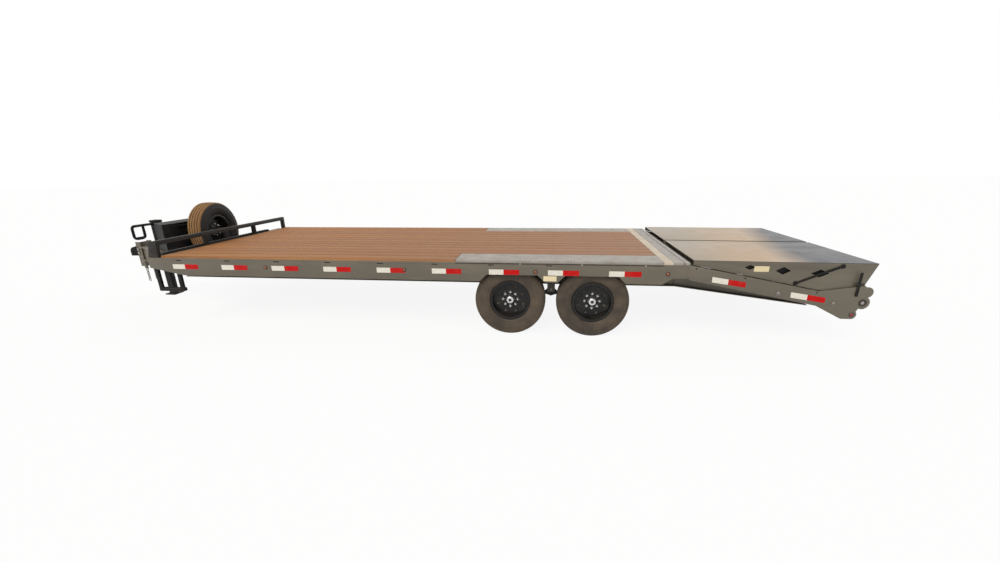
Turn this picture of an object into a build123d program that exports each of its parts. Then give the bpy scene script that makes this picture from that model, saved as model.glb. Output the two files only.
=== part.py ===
"""Tandem axle deckover trailer with a wooden deck, a dovetail and two fold-over ramps.

Millimetres. +X points forward to the coupler, +Y to the left, +Z up.
The origin is on the ground, under the middle of the trailer's box.
"""
import math
import os

from build123d import *

# Lengths along the trailer, from the coupler's nose to the hinge plates
TONGUE_LENGTH = 1597.0
MAIN_DECK_LENGTH = 6160.0
DOVETAIL_LENGTH = 1667.0
HINGE_OVERHANG = 74.0
AXLE_SETBACK = 1390.0
WOOD_FRONT_INSET = 176.0
WOOD_REAR_INSET = 254.0
TREAD_PLATE_AHEAD = 1036.0

# Deck and frame sections
DECK_WIDTH = 2591.0
DECK_HEIGHT = 860.0
BOARD_THICKNESS = 38.0
BOARD_COUNT = 14
BOARD_GAP = 5.0
BOARDS_OVER_WHEEL = 2
RAIL_DEPTH = 231.0
RAIL_DROP = 24.0
RAIL_FLANGE = 50.0
RAIL_WALL = 8.0
RAIL_NOSE_LENGTH = 434.0
RAIL_NOSE_RISE = 85.0
RAIL_HEEL_HEIGHT = 69.0
RAIL_HEEL_START = 253.0
RAIL_HEEL_END = 153.0
SLOT_LENGTH = 70.0
SLOT_HEIGHT = 10.0
SLOT_PITCH = 620.0
SLOT_DROP = 38.0
FIRST_SLOT_SHARE = 0.65
CROSS_DEPTH = 76.0
CROSS_FLANGE = 40.0
CROSS_WALL = 6.0
CROSS_COUNT = 15
CROSS_FIRST = 230.0
CROSS_LAST = 110.0
WELL_END_CLEARANCE = 55.5
WELL_SIDE_CLEARANCE = 31.0
BEAM_FROM_WHEEL = 340.5
AXLE_TO_BEAM = 60.5
BEAM_FLANGE = 102.0
BEAM_WEB = 8.0
BEAM_FLANGE_WALL = 10.0
HEADER_WALL = 8.0
HEADER_LEG = 60.0
HEADER_PAST_BEAM = 60.0
TREAD_PLATE_WALL = 5.0
CAP_WIDTH = 93.0
FIRST_STRIP_WIDTH = 104.0
STRIP_GAP = 7.0
SEAM = 2.0

# Dovetail, hinge plates and ramps
PIVOT_DROP = 375.0
RAMP_GAP = 36.0
RAMP_TIP_STEP = 27.0
RAMP_REAR_STEP = 15.0
RAMP_TIP_THICKNESS = 52.0
RAMP_HEEL_BACK = 72.0
RAMP_HEEL_LOW = 178.0
HEEL_TIP_REACH = 4.0
UNDERSIDE_REACH = 100.0
UNDERSIDE_RISE = 54.0
RAMP_CENTRE_GAP = 56.0
RAMP_SIDE_INSET = 26.0
RAMP_SIDE_WALL = 10.0
RAMP_SKIN = 6.0
RAMP_BOSS_RADIUS = 60.0
RAMP_TUBE_RADIUS = 42.0
RAMP_TUBE = 50.0
RUNG_WIDTH = 40.0
RUNG_DEPTH = 34.0
RUNG_COUNT = 9
RUNG_WALL = 5.0
RAMP_TUBE_WALL = 5.0
HINGE_SHAFT_RADIUS = 20.0
SHAFT_CLEARANCE = 0.3
HINGE_PLATE_WALL = 12.0
DOVETAIL_RAIL_DEPTH = 150.0
RAMP_CLEARANCE = 7.0
DOVETAIL_TUBE_WIDTH = 60.0
DOVETAIL_TUBE_WALL = 6.0
DOVETAIL_BEAM_END_SHARE = 0.144
DOVETAIL_BEAM_END_DEPTH = 165.0
CENTRE_BRACKET_WALL = 24.0
LIGHT_BAR_AHEAD = 112.0
LIGHT_BAR_WALL = 30.0
LIGHT_BAR_TOP = 30.0
LIGHT_BAR_HEIGHT = 130.0
LIGHT_BAR_SHEET = 6.0
PROP_WIDTH = 22.0
PROP_WALL = 8.0

# Running gear
TYRE_TO_DECK = 35.0
TYRE_GAP = 115.0
TYRE_WIDTH = 229.0
BEAD_COVER = 2.0
RIM_RADIUS = 203.0
RIM_WIDTH = 165.0
RIM_FLANGE_HEIGHT = 19.0
RIM_FLANGE_WALL = 8.0
RIM_WALL = 7.0
DISC_WALL = 10.0
DISC_HOLE_RADIUS = 62.0
HAND_HOLE_RADIUS = 19.0
HAND_HOLE_CIRCLE = 142.0
NUT_COUNT = 8
NUT_CIRCLE = 82.55
NUT_RADIUS = 12.0
NUT_LENGTH = 26.0
TYRE_CLEARANCE = 0.3
WHEEL_INSET = 60.5
NOTCH_PAST_WHEEL = 320.0
NOTCH_TAB = 139.0
NOTCH_HEIGHT = 75.0
AXLE_RADIUS = 38.0
SPINDLE_RADIUS = 22.0
DRUM_RADIUS = 160.0
DRUM_DEPTH = 86.0
DRUM_WALL = 10.0
HUB_RADIUS = 56.0
HUB_CAP_RADIUS = 42.0
HUB_CAP_LENGTH = 68.0
HUB_CAP_ROUND = 7.0
SPINDLE_END_GAP = 5.0
BACKING_PLATE_WALL = 5.0
DRUM_GAP = 6.0
EQUALISER_REACH = 121.0
EQUALISER_RISE = 22.0
EQUALISER_BELLY = 60.0
EQUALISER_TIP_GAP = 8.0
EQUALISER_SHOULDER = 26.0
EQUALISER_CROWN = 16.0
LINK_HEAD = 24.0
LINK_DROP = 40.0
LINK_INNER = 60.0
LINK_NECK = 14.0
LINK_PIN_REACH = 44.0
LINK_PIN_DROP = 28.0
SPRING_WIDTH = 45.0
SPRING_CAMBER = 60.0
LEAF_WALL = 9.0
SPRING_SEAT = 10.0
EYE_RADIUS = 20.0
SHACKLE_BOLT_RADIUS = 8.0
HANGER_WALL = 8.0
HANGER_LENGTH = 90.0
HANGER_BELOW_EYE = 34.0
SPRING_SIDE_CLEARANCE = 1.5
UBOLT_RADIUS = 7.0
TIE_PLATE = 12.0

# Tongue, coupler and jack
TONGUE_DEPTH = 203.0
TONGUE_FLANGE = 90.0
TONGUE_HEAD_SPREAD = 150.0
HEAD_DEPTH = 76.0
HEAD_WIDTH = 200.0
HEAD_DROP = 93.0
HEAD_RISE = 66.0
HEAD_WALL = 12.0
COUPLER_LENGTH = 200.0
COUPLER_WIDTH = 110.0
COUPLER_DROP = 16.0
COUPLER_DEPTH = 130.0
COUPLER_STEP = 20.0
COUPLER_CHAMFER = 10.0
COUPLER_LIP = 46.0
COUPLER_SLOPE = 75.0
LEVER_HALF = 16.0
LEVER_HEIGHT = 34.0
LEVER_GRIP_HALF = 10.0
LEVER_GRIP = 16.0
LEVER_GAP = 6.0
BALL_SOCKET_RADIUS = 29.8
BALL_SOCKET_DEPTH = 46.0
BALL_FROM_NOSE = 60.0
CHAIN_BAR = 10.0
CHAIN_INNER_LENGTH = 38.0
CHAIN_INNER_WIDTH = 17.0
CHAIN_LINKS = 6
CHAIN_SPACING = 120.0
CHAIN_SLACK = 0.3
CHAIN_TAB_WALL = 10.0
CHAIN_TAB_DROP = 44.0
CHAIN_HOLE_RADIUS = 9.0
JACK_AHEAD = 1060.0
JACK_TUBE = 100.0
JACK_WALL = 6.0
JACK_CLEARANCE = 0.5
JACK_DROP = 23.0
JACK_RISE = 379.0
JACK_CAP = 30.0
JACK_FOOT = 170.0
JACK_FOOT_WALL = 16.0
JACK_PLATE_WALL = 12.0
CRANK_FROM_TOP = 47.0
CRANK_REACH = 400.0
CRANK_DROP = 172.0
CRANK_GRIP = 172.0
CRANK_END_GAP = 1.0
CRANK_RADIUS = 13.0
GRIP_RADIUS = 16.0

# Toolbox, spare wheel, front rail and step
TOOLBOX_AHEAD = 430.0
TOOLBOX_LENGTH = 300.0
TOOLBOX_WIDTH = 1120.0
TOOLBOX_FRONT_WIDTH = 740.0
TOOLBOX_HEIGHT = 340.0
TOOLBOX_WALL = 4.0
LID_HEIGHT = 36.0
LID_GAP = 0.5
LID_HINGE_RADIUS = 7.0
LID_HINGE_LENGTH = 300.0
LID_HINGE_GAP = 1.0
SPARE_AHEAD = 126.0
SPARE_SIDE = -130.0
SPARE_RISE = 225.0
SPARE_POST = 60.0
SPARE_POST_AHEAD = 30.0
SPARE_ARM_RADIUS = 26.0
FRONT_RAIL_INSET = 122.0
FRONT_RAIL_TUBE = 50.0
FRONT_RAIL_RISE = 170.0
FRONT_RAIL_POST_SHARES = (-1.0, -0.394, 0.394, 1.0)
GUSSET_FOOT = 110.0
GUSSET_HEAD = 55.0
GUSSET_WALL = 8.0
TOE_BAR_AHEAD = 45.0
TOE_BAR = 40.0
TOE_BAR_LEFT_SHARE = 0.93
TOE_BAR_RIGHT_SHARE = -0.695
STEP_INSET = 22.0
STEP_LENGTH = 326.0
STEP_DROP = 169.0
STEP_DEPTH = 60.0
STEP_BAR = 40.0
STEP_SIDE_INSET = 25.0

# Lamps
MARKER_RADIUS = 13.0
MARKER_STAND = 6.0
MARKER_DROP = 118.0
MARKER_SHARES = (0.7563, 0.488, 0.2531, 0.0336)
TAIL_LAMP_LENGTH = 165.0
TAIL_LAMP_HEIGHT = 58.0
TAIL_LAMP_STAND = 8.0
TAIL_LAMPS_FROM_EDGE = (255.5, 455.5)

# Stations worked out from the sizes above
OVERALL = TONGUE_LENGTH + MAIN_DECK_LENGTH + DOVETAIL_LENGTH + HINGE_OVERHANG
X_NOSE = OVERALL / 2
X_FRONT = X_NOSE - TONGUE_LENGTH
X_REAR = X_FRONT - MAIN_DECK_LENGTH
X_PIVOT = X_REAR - DOVETAIL_LENGTH
X_AXLES = X_REAR + AXLE_SETBACK
X_WOOD_FRONT = X_FRONT - WOOD_FRONT_INSET
X_WOOD_REAR = X_REAR + WOOD_REAR_INSET
X_TREAD_FRONT = X_AXLES + TREAD_PLATE_AHEAD
X_NOSE_START = X_FRONT - RAIL_NOSE_LENGTH
X_HEAD = X_NOSE - COUPLER_LENGTH - HEAD_DEPTH
X_JACK = X_FRONT + JACK_AHEAD

HALF = DECK_WIDTH / 2
RAIL_INNER = HALF - RAIL_FLANGE
BOARD_EDGE = HALF - RAIL_WALL
BOARD_PITCH = (2 * BOARD_EDGE + BOARD_GAP) / BOARD_COUNT
TREAD_INNER = BOARD_EDGE - BOARDS_OVER_WHEEL * BOARD_PITCH + BOARD_GAP
WHEEL_Y = HALF - WHEEL_INSET - TYRE_WIDTH / 2
BEAM_Y = WHEEL_Y - BEAM_FROM_WHEEL
WHEEL_WELL_EDGE = WHEEL_Y - TYRE_WIDTH / 2 - WELL_SIDE_CLEARANCE

CROSS_TOP = DECK_HEIGHT - BOARD_THICKNESS
BEAM_TOP = CROSS_TOP - CROSS_DEPTH
TYRE_RADIUS = (CROSS_TOP - TYRE_TO_DECK) / 2
AXLE_Z = TYRE_RADIUS
AXLE_SPREAD = 2 * TYRE_RADIUS + TYRE_GAP
SPRING_HALF = AXLE_SPREAD / 2 - EQUALISER_REACH
WHEEL_WELL_HALF = AXLE_SPREAD / 2 + TYRE_RADIUS + WELL_END_CLEARANCE
BEAM_BOTTOM = AXLE_Z + AXLE_RADIUS + AXLE_TO_BEAM
RAIL_TOP = DECK_HEIGHT - RAIL_DROP
RAIL_BOTTOM = DECK_HEIGHT - RAIL_DEPTH
TONGUE_BOTTOM = BEAM_TOP - TONGUE_DEPTH
HEAD_LOW = TONGUE_BOTTOM - HEAD_DROP
HEAD_HIGH = BEAM_TOP + HEAD_RISE
COUPLER_HIGH = BEAM_TOP - COUPLER_DROP
COUPLER_LOW = COUPLER_HIGH - COUPLER_DEPTH
JACK_LOW = TONGUE_BOTTOM - JACK_DROP
JACK_HIGH = BEAM_TOP + JACK_RISE
CRANK_HEIGHT = JACK_HIGH - CRANK_FROM_TOP
SPARE_HEIGHT = BEAM_TOP + SPARE_RISE
FRONT_RAIL_HEIGHT = DECK_HEIGHT + FRONT_RAIL_RISE
STEP_HEIGHT = RAIL_BOTTOM - STEP_DROP
PIVOT_HEIGHT = DECK_HEIGHT - PIVOT_DROP

RAMP_TIP = DOVETAIL_LENGTH - RAMP_GAP
RAMP_TIP_TOP = DECK_HEIGHT + RAMP_TIP_STEP - PIVOT_HEIGHT
RAMP_REAR_TOP = DECK_HEIGHT + RAMP_REAR_STEP - PIVOT_HEIGHT
RAMP_TIP_LOW = RAMP_TIP_TOP - RAMP_TIP_THICKNESS
RAMP_SLOPE = (RAMP_TIP_LOW - UNDERSIDE_RISE) / (RAMP_TIP - UNDERSIDE_REACH)
DOVETAIL_BEAM_END = DOVETAIL_LENGTH * DOVETAIL_BEAM_END_SHARE
RAMP_OUTER = HALF - RAMP_SIDE_INSET
RAMP_INNER = RAMP_CENTRE_GAP / 2

SIDES = (("left", 1), ("right", -1))
WHEELS = (
    # name, which axle, side
    ("fl", 0.5, 1),
    ("fr", 0.5, -1),
    ("rl", -0.5, 1),
    ("rr", -0.5, -1),
)

os.makedirs("parts", exist_ok=True)


def save(piece, label):
    """Labels a finished sub-part and writes its file."""
    piece.part.label = label
    export_step(piece.part, f"parts/{label}.step")


def block(x, y, z, mode=Mode.ADD):
    """Adds a box given by its (low, high) pairs along the three axes."""
    centre = [(low + high) / 2 for low, high in (x, y, z)]
    size = [abs(high - low) for low, high in (x, y, z)]
    with Locations(tuple(centre)):
        Box(*size, mode=mode)


def side_slab(points, y_a, y_b, mode=Mode.ADD):
    """Adds an outline in X and Z, as thick as the stretch between two Y values."""
    low, high = sorted((y_a, y_b))
    with BuildSketch(Plane.XZ.offset(-low)) as outline:
        with BuildLine():
            Polyline(*points, close=True)
        make_face()
    extrude(outline.sketch, amount=high - low, dir=(0, 1, 0), mode=mode)


def plan_slab(points, z_low, z_high, mode=Mode.ADD):
    """Adds an outline in X and Y, as thick as the stretch between two Z values."""
    with BuildSketch(Plane.XY.offset(z_low)) as outline:
        with BuildLine():
            Polyline(*points, close=True)
        make_face()
    extrude(outline.sketch, amount=z_high - z_low, dir=(0, 0, 1), mode=mode)


def cross_rod(x, z, y_a, y_b, radius, mode=Mode.ADD):
    """Adds a round bar along Y between two Y values."""
    with Locations(Location((x, (y_a + y_b) / 2, z), (90, 0, 0))):
        Cylinder(radius, abs(y_b - y_a), mode=mode)


def channel_outline(depth, flange, wall):
    """Gives a channel's outline: web on the left of its corner, flanges to the right."""
    return [
        (0, 0),
        (flange, 0),
        (flange, wall),
        (wall, wall),
        (wall, depth - wall),
        (flange, depth - wall),
        (flange, depth),
        (0, depth),
    ]


def rail_low(x):
    """Gives the side rail's lower edge at a station: level, then rising to its front end."""
    return RAIL_BOTTOM + max(0.0, x - X_NOSE_START) * RAIL_NOSE_RISE / RAIL_NOSE_LENGTH


def ramp_underside(reach):
    """Gives the height of the ramp's underside over the pivot, that far ahead of it."""
    return UNDERSIDE_RISE + (reach - UNDERSIDE_REACH) * RAMP_SLOPE


def at_pivot(points):
    """Turns points measured from the ramp's pivot into points of the trailer."""
    return [(X_PIVOT + reach, PIVOT_HEIGHT + rise) for reach, rise in points]


def channel_bar(ends, web, free, wall, across):
    """Adds a channel bar along Y, from the heights of its web and of its free edges at a reach."""
    rear, front = ends
    outline = [(rear, web(rear)), (front, web(front)), (front, free(front)), (rear, free(rear))]
    side_slab(at_pivot(outline), *across)
    inset = wall if free(rear) > web(rear) else -wall
    rear, front = rear + wall, front - wall
    inside = [(rear, web(rear) + inset), (front, web(front) + inset)]
    mouth = [(front, free(front)), (rear, free(rear))]
    side_slab(at_pivot(inside + mouth), *across, Mode.SUBTRACT)


# Main beams: two rolled beams under the whole straight deck
with BuildPart() as main_beams:
    for name, side in SIDES:
        centre = side * BEAM_Y
        span = (X_REAR, X_FRONT - HEADER_WALL)
        half_flange = BEAM_FLANGE / 2
        block(span, (centre - BEAM_WEB / 2, centre + BEAM_WEB / 2), (BEAM_BOTTOM, BEAM_TOP))
        for z in (BEAM_BOTTOM, BEAM_TOP - BEAM_FLANGE_WALL):
            block(span, (centre - half_flange, centre + half_flange), (z, z + BEAM_FLANGE_WALL))
save(main_beams, "main_beams")

# Side rails: formed channels whose lip stands beside the outer boards, notched over the wheels
WHEEL_NOTCHES = (
    # front and rear foot of each notch
    (X_AXLES + AXLE_SPREAD / 2 + NOTCH_PAST_WHEEL, X_AXLES + NOTCH_TAB / 2),
    (X_AXLES - NOTCH_TAB / 2, X_AXLES - AXLE_SPREAD / 2 - NOTCH_PAST_WHEEL),
)
for name, side in SIDES:
    with BuildPart() as side_rail:
        outer = side * HALF
        span = (X_REAR, X_FRONT)
        low_edge = [(x, rail_low(x)) for x in (X_FRONT, X_NOSE_START)]
        for front, rear in WHEEL_NOTCHES:
            low_edge += [
                (front, RAIL_BOTTOM),
                (front - NOTCH_HEIGHT, RAIL_BOTTOM + NOTCH_HEIGHT),
                (rear + NOTCH_HEIGHT, RAIL_BOTTOM + NOTCH_HEIGHT),
                (rear, RAIL_BOTTOM),
            ]
        low_edge.append((X_REAR, RAIL_BOTTOM))
        side_slab(low_edge + [(X_REAR, RAIL_TOP), (X_FRONT, RAIL_TOP)], outer, side * BOARD_EDGE)
        flange_edge = [(x, z + RAIL_WALL) for x, z in reversed(low_edge)]
        side_slab(low_edge + flange_edge, outer, side * RAIL_INNER)
        block(span, (outer, side * RAIL_INNER), (CROSS_TOP - RAIL_WALL, CROSS_TOP))
        block((X_FRONT - RAIL_WALL, X_FRONT), (outer, side * RAIL_INNER), (rail_low(X_FRONT), RAIL_TOP))
        heel = [
            (X_REAR, RAIL_BOTTOM),
            (X_REAR + RAIL_HEEL_START, RAIL_BOTTOM),
            (X_REAR + RAIL_HEEL_END, RAIL_BOTTOM + RAIL_HEEL_HEIGHT),
            (X_REAR, RAIL_BOTTOM + RAIL_HEEL_HEIGHT),
        ]
        side_slab(heel, outer, side * RAIL_INNER, Mode.SUBTRACT)
        slot_count = int((MAIN_DECK_LENGTH - SLOT_PITCH) // SLOT_PITCH)
        for index in range(slot_count):
            middle = X_FRONT - (index + FIRST_SLOT_SHARE) * SLOT_PITCH
            slot_top = DECK_HEIGHT - SLOT_DROP - RAIL_WALL
            block(
                (middle - SLOT_LENGTH / 2, middle + SLOT_LENGTH / 2),
                (outer, side * BOARD_EDGE),
                (slot_top - SLOT_HEIGHT, slot_top),
                Mode.SUBTRACT,
            )
    save(side_rail, f"side_rail_{name}")

# Crossmembers: light channels on the beams, cut short beside the wheels
with BuildPart() as crossmembers:
    first = X_FRONT - CROSS_FIRST
    last = X_REAR + CROSS_LAST
    for index in range(CROSS_COUNT):
        x = first + (last - first) * index / (CROSS_COUNT - 1)
        beside_wheel = abs(x - X_AXLES) < WHEEL_WELL_HALF
        reach = WHEEL_WELL_EDGE if beside_wheel else RAIL_INNER
        section = channel_outline(CROSS_DEPTH, CROSS_FLANGE, CROSS_WALL)
        points = [(x + along, BEAM_TOP + up) for along, up in section]
        side_slab(points, -reach, reach)
save(crossmembers, "crossmembers")

# Front header: closes the deck's front edge and carries the front rail
with BuildPart() as front_header:
    header_rear = X_WOOD_FRONT + SEAM
    across = (-RAIL_INNER, RAIL_INNER)
    header_face = (X_FRONT - HEADER_WALL, X_FRONT)
    past_beam = BEAM_Y + HEADER_PAST_BEAM
    block(header_face, across, (rail_low(X_FRONT), RAIL_TOP))
    block(header_face, (-past_beam, past_beam), (RAIL_BOTTOM, RAIL_TOP))
    block((header_rear, X_FRONT), across, (RAIL_TOP - HEADER_WALL, RAIL_TOP))
    block((header_rear, header_rear + HEADER_WALL), across, (RAIL_TOP - HEADER_LEG, RAIL_TOP))
save(front_header, "front_header")

# Deck boards: run lengthwise, the outer ones end at the tread plates
with BuildPart() as deck_boards:
    for index in range(BOARD_COUNT):
        low = -BOARD_EDGE + index * BOARD_PITCH
        over_wheel = min(index, BOARD_COUNT - 1 - index) < BOARDS_OVER_WHEEL
        rear = X_TREAD_FRONT + SEAM if over_wheel else X_WOOD_REAR
        block((rear, X_WOOD_FRONT), (low, low + BOARD_PITCH - BOARD_GAP), (CROSS_TOP, DECK_HEIGHT))
save(deck_boards, "deck_boards")

# Tread plates over the wheels, with their edges turned down on to the frame
with BuildPart() as tread_plates:
    for name, side in SIDES:
        span = (X_WOOD_REAR, X_TREAD_FRONT)
        block(span, (side * TREAD_INNER, side * BOARD_EDGE), (DECK_HEIGHT - TREAD_PLATE_WALL, DECK_HEIGHT))
        for edge in (TREAD_INNER, BOARD_EDGE - TREAD_PLATE_WALL):
            block(span, (side * edge, side * (edge + TREAD_PLATE_WALL)), (CROSS_TOP, DECK_HEIGHT))
save(tread_plates, "tread_plates")

# Smooth cap on the boards' rear ends, and two tread strips behind it
END_STRIPS = (
    # node, front and rear of each strip
    ("deck_end_cap", ((X_WOOD_REAR - SEAM, X_WOOD_REAR - CAP_WIDTH),)),
    (
        "deck_end_strips",
        (
            (X_WOOD_REAR - CAP_WIDTH - SEAM, X_WOOD_REAR - CAP_WIDTH - FIRST_STRIP_WIDTH),
            (X_WOOD_REAR - CAP_WIDTH - FIRST_STRIP_WIDTH - STRIP_GAP, X_REAR),
        ),
    ),
)
for name, strips in END_STRIPS:
    with BuildPart() as end_strips:
        across = (-BOARD_EDGE, BOARD_EDGE)
        for front, rear in strips:
            block((rear, front), across, (DECK_HEIGHT - TREAD_PLATE_WALL, DECK_HEIGHT))
            for edge in (rear, front - TREAD_PLATE_WALL):
                block((edge, edge + TREAD_PLATE_WALL), across, (CROSS_TOP, DECK_HEIGHT))
            for edge in (-BOARD_EDGE, BOARD_EDGE - TREAD_PLATE_WALL):
                block((rear, front), (edge, edge + TREAD_PLATE_WALL), (CROSS_TOP, DECK_HEIGHT))
    save(end_strips, name)

# Dovetail sides: sloping channels that end in the lobed hinge plates
HEEL_LOBE_REACH = -20.0
HEEL_LOBE_RISE = 106.0
FOOT_LOBE_REACH = 72.0
FOOT_LOBE_RISE = -126.0
FOOT_LOBE_RADIUS = 46.0
PIVOT_LOBE_RADIUS = 66.0
HINGE_PLATE_LOBES = (
    # reach and rise of the centre from the pivot, radius
    (0.0, 0.0, PIVOT_LOBE_RADIUS),
    (HEEL_LOBE_REACH, HEEL_LOBE_RISE, HINGE_OVERHANG + HEEL_LOBE_REACH),
    (FOOT_LOBE_REACH, FOOT_LOBE_RISE, FOOT_LOBE_RADIUS),
)
HINGE_PLATE_FRONT = 420.0
HINGE_PLATE_FOOT = 164.0
rail_low_at_plate = ramp_underside(HINGE_PLATE_FRONT) - RAMP_CLEARANCE - DOVETAIL_RAIL_DEPTH
for name, side in SIDES:
    with BuildPart() as dovetail_side:
        outer = side * HALF
        inner = side * (HALF - HINGE_PLATE_WALL)
        top_front = ramp_underside(DOVETAIL_LENGTH) - RAMP_CLEARANCE
        top_rear = ramp_underside(HINGE_PLATE_FRONT) - RAMP_CLEARANCE
        web = [
            (DOVETAIL_LENGTH, top_front),
            (DOVETAIL_LENGTH, top_front - DOVETAIL_RAIL_DEPTH),
            (HINGE_PLATE_FRONT, rail_low_at_plate),
            (HINGE_PLATE_FOOT, FOOT_LOBE_RISE - FOOT_LOBE_RADIUS),
            (FOOT_LOBE_REACH, FOOT_LOBE_RISE - FOOT_LOBE_RADIUS),
            (0.0, 0.0),
            (HEEL_LOBE_REACH, HEEL_LOBE_RISE),
            (HEEL_TIP_REACH, RAMP_HEEL_LOW - RAMP_CLEARANCE),
            (HINGE_PLATE_FRONT, top_rear),
        ]
        side_slab(at_pivot(web), outer, inner)
        for reach, rise, radius in HINGE_PLATE_LOBES:
            cross_rod(X_PIVOT + reach, PIVOT_HEIGHT + rise, inner, outer, radius)
        for level in (0.0, RAIL_WALL - DOVETAIL_RAIL_DEPTH):
            flange = [
                (DOVETAIL_LENGTH, top_front + level),
                (DOVETAIL_LENGTH, top_front + level - RAIL_WALL),
                (HINGE_PLATE_FRONT, top_rear + level - RAIL_WALL),
                (HINGE_PLATE_FRONT, top_rear + level),
            ]
            side_slab(at_pivot(flange), outer, side * RAIL_INNER)
        shaft_bore = HINGE_SHAFT_RADIUS + SHAFT_CLEARANCE
        cross_rod(X_PIVOT, PIVOT_HEIGHT, inner, outer, shaft_bore, Mode.SUBTRACT)
    save(dovetail_side, f"dovetail_side_{name}")

# Dovetail beams: the main beams carried on, tapering down to the hinge
DOVETAIL_TUBE_TOP = 10.0
beam_drop = PIVOT_HEIGHT + ramp_underside(DOVETAIL_LENGTH) - BEAM_TOP
with BuildPart() as dovetail_beams:
    for name, side in SIDES:
        centre = side * BEAM_Y
        front_top = BEAM_TOP - PIVOT_HEIGHT
        front_low = BEAM_BOTTOM - PIVOT_HEIGHT
        rear_top = ramp_underside(DOVETAIL_BEAM_END) - beam_drop
        rear_low = rear_top - DOVETAIL_BEAM_END_DEPTH
        ends = ((DOVETAIL_LENGTH, front_low, front_top), (DOVETAIL_BEAM_END, rear_low, rear_top))
        (front, f_low, f_top), (rear, r_low, r_top) = ends
        web = [(front, f_low), (front, f_top), (rear, r_top), (rear, r_low)]
        side_slab(at_pivot(web), centre - BEAM_WEB / 2, centre + BEAM_WEB / 2)
        wall = BEAM_FLANGE_WALL
        top = [(front, f_top), (rear, r_top), (rear, r_top - wall), (front, f_top - wall)]
        low = [(front, f_low), (rear, r_low), (rear, r_low + wall), (front, f_low + wall)]
        for flange in (top, low):
            side_slab(at_pivot(flange), centre - BEAM_FLANGE / 2, centre + BEAM_FLANGE / 2)
save(dovetail_beams, "dovetail_beams")

# Dovetail crossmembers on those beams, and the bracket between the two ramps
DOVETAIL_TUBE_SHARES = (0.9238, 0.7079, 0.4919, 0.2759, 0.15)


def dovetail_tube_top(reach):
    """Gives the top of the dovetail's crossmembers over the pivot, that far ahead of it."""
    return ramp_underside(reach) - DOVETAIL_TUBE_TOP


def dovetail_tube_low(reach):
    """Gives where the dovetail's crossmembers rest on its beams."""
    return ramp_underside(reach) - beam_drop


with BuildPart() as dovetail_crossmembers:
    for share in DOVETAIL_TUBE_SHARES:
        reach = share * DOVETAIL_LENGTH
        ends = (reach, reach + DOVETAIL_TUBE_WIDTH)
        channel_bar(ends, dovetail_tube_top, dovetail_tube_low, DOVETAIL_TUBE_WALL, (-RAIL_INNER, RAIL_INNER))
    bracket = [
        (reach, dovetail_tube_top(reach)),
        (0.0, RAMP_TUBE_RADIUS),
        (0.0, -RAMP_TUBE_RADIUS),
        (reach, dovetail_tube_low(reach)),
    ]
    half_wall = CENTRE_BRACKET_WALL / 2
    side_slab(at_pivot(bracket), -half_wall, half_wall)
    cross_rod(X_PIVOT, PIVOT_HEIGHT, -half_wall, half_wall, RAMP_TUBE_RADIUS)
    cross_rod(X_PIVOT, PIVOT_HEIGHT, -half_wall, half_wall, shaft_bore, Mode.SUBTRACT)
save(dovetail_crossmembers, "dovetail_crossmembers")

# Hinge shaft through the plates, the ramps' tubes and the bracket
with BuildPart() as hinge_shaft:
    cross_rod(X_PIVOT, PIVOT_HEIGHT, -HALF, HALF, HINGE_SHAFT_RADIUS)
save(hinge_shaft, "hinge_shaft")

# Rear light bar between the hinge plates, ahead of the ramps' heels
light_bar_x = X_PIVOT + LIGHT_BAR_AHEAD
light_bar_z = PIVOT_HEIGHT - LIGHT_BAR_TOP
with BuildPart() as rear_light_bar:
    plate_inner = HALF - HINGE_PLATE_WALL
    block(
        (light_bar_x, light_bar_x + LIGHT_BAR_WALL),
        (-plate_inner, plate_inner),
        (light_bar_z - LIGHT_BAR_HEIGHT, light_bar_z),
    )
    block(
        (light_bar_x + LIGHT_BAR_SHEET, light_bar_x + LIGHT_BAR_WALL),
        (-plate_inner, plate_inner),
        (light_bar_z - LIGHT_BAR_HEIGHT + LIGHT_BAR_SHEET, light_bar_z - LIGHT_BAR_SHEET),
        Mode.SUBTRACT,
    )
save(rear_light_bar, "rear_light_bar")

# Ramps: hollow wedges of two side plates, tubes, rungs and a smooth skin
RHOMBUS_HOLES = (
    # share of the ramp's reach, rise over the pivot, half width, half height
    (0.6665, 335.0, 53.0, 26.0),
    (0.4733, 305.0, 72.0, 40.0),
    (0.265, 284.0, 85.0, 40.0),
)
RAMP_TUBE_SHARES = (0.9442, 0.7235, 0.5028, 0.282, 0.0613)
PROP_FOOT_SHARE = 0.3924
PROP_FOOT_RISE = 184.0
PROP_HEAD_SHARE = 0.149
PROP_HEAD_RISE = 360.0


def ramp_top(reach):
    """Gives the height of the skin's top over the pivot, that far ahead of it."""
    share = (RAMP_TIP - reach) / (RAMP_TIP + RAMP_HEEL_BACK)
    return RAMP_TIP_TOP + (RAMP_REAR_TOP - RAMP_TIP_TOP) * share


def ramp_tube_top(reach):
    """Gives the top of the ramp's own tubes, right under the skin."""
    return ramp_top(reach) - RAMP_SKIN


def ramp_tube_low(reach):
    """Gives the lower edge of the ramp's own tubes."""
    return ramp_tube_top(reach) - RAMP_TUBE


def rung_top(reach):
    """Gives the inner edge of the rungs, which lie on the ramp's underside."""
    return ramp_underside(reach) + RUNG_DEPTH


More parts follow.
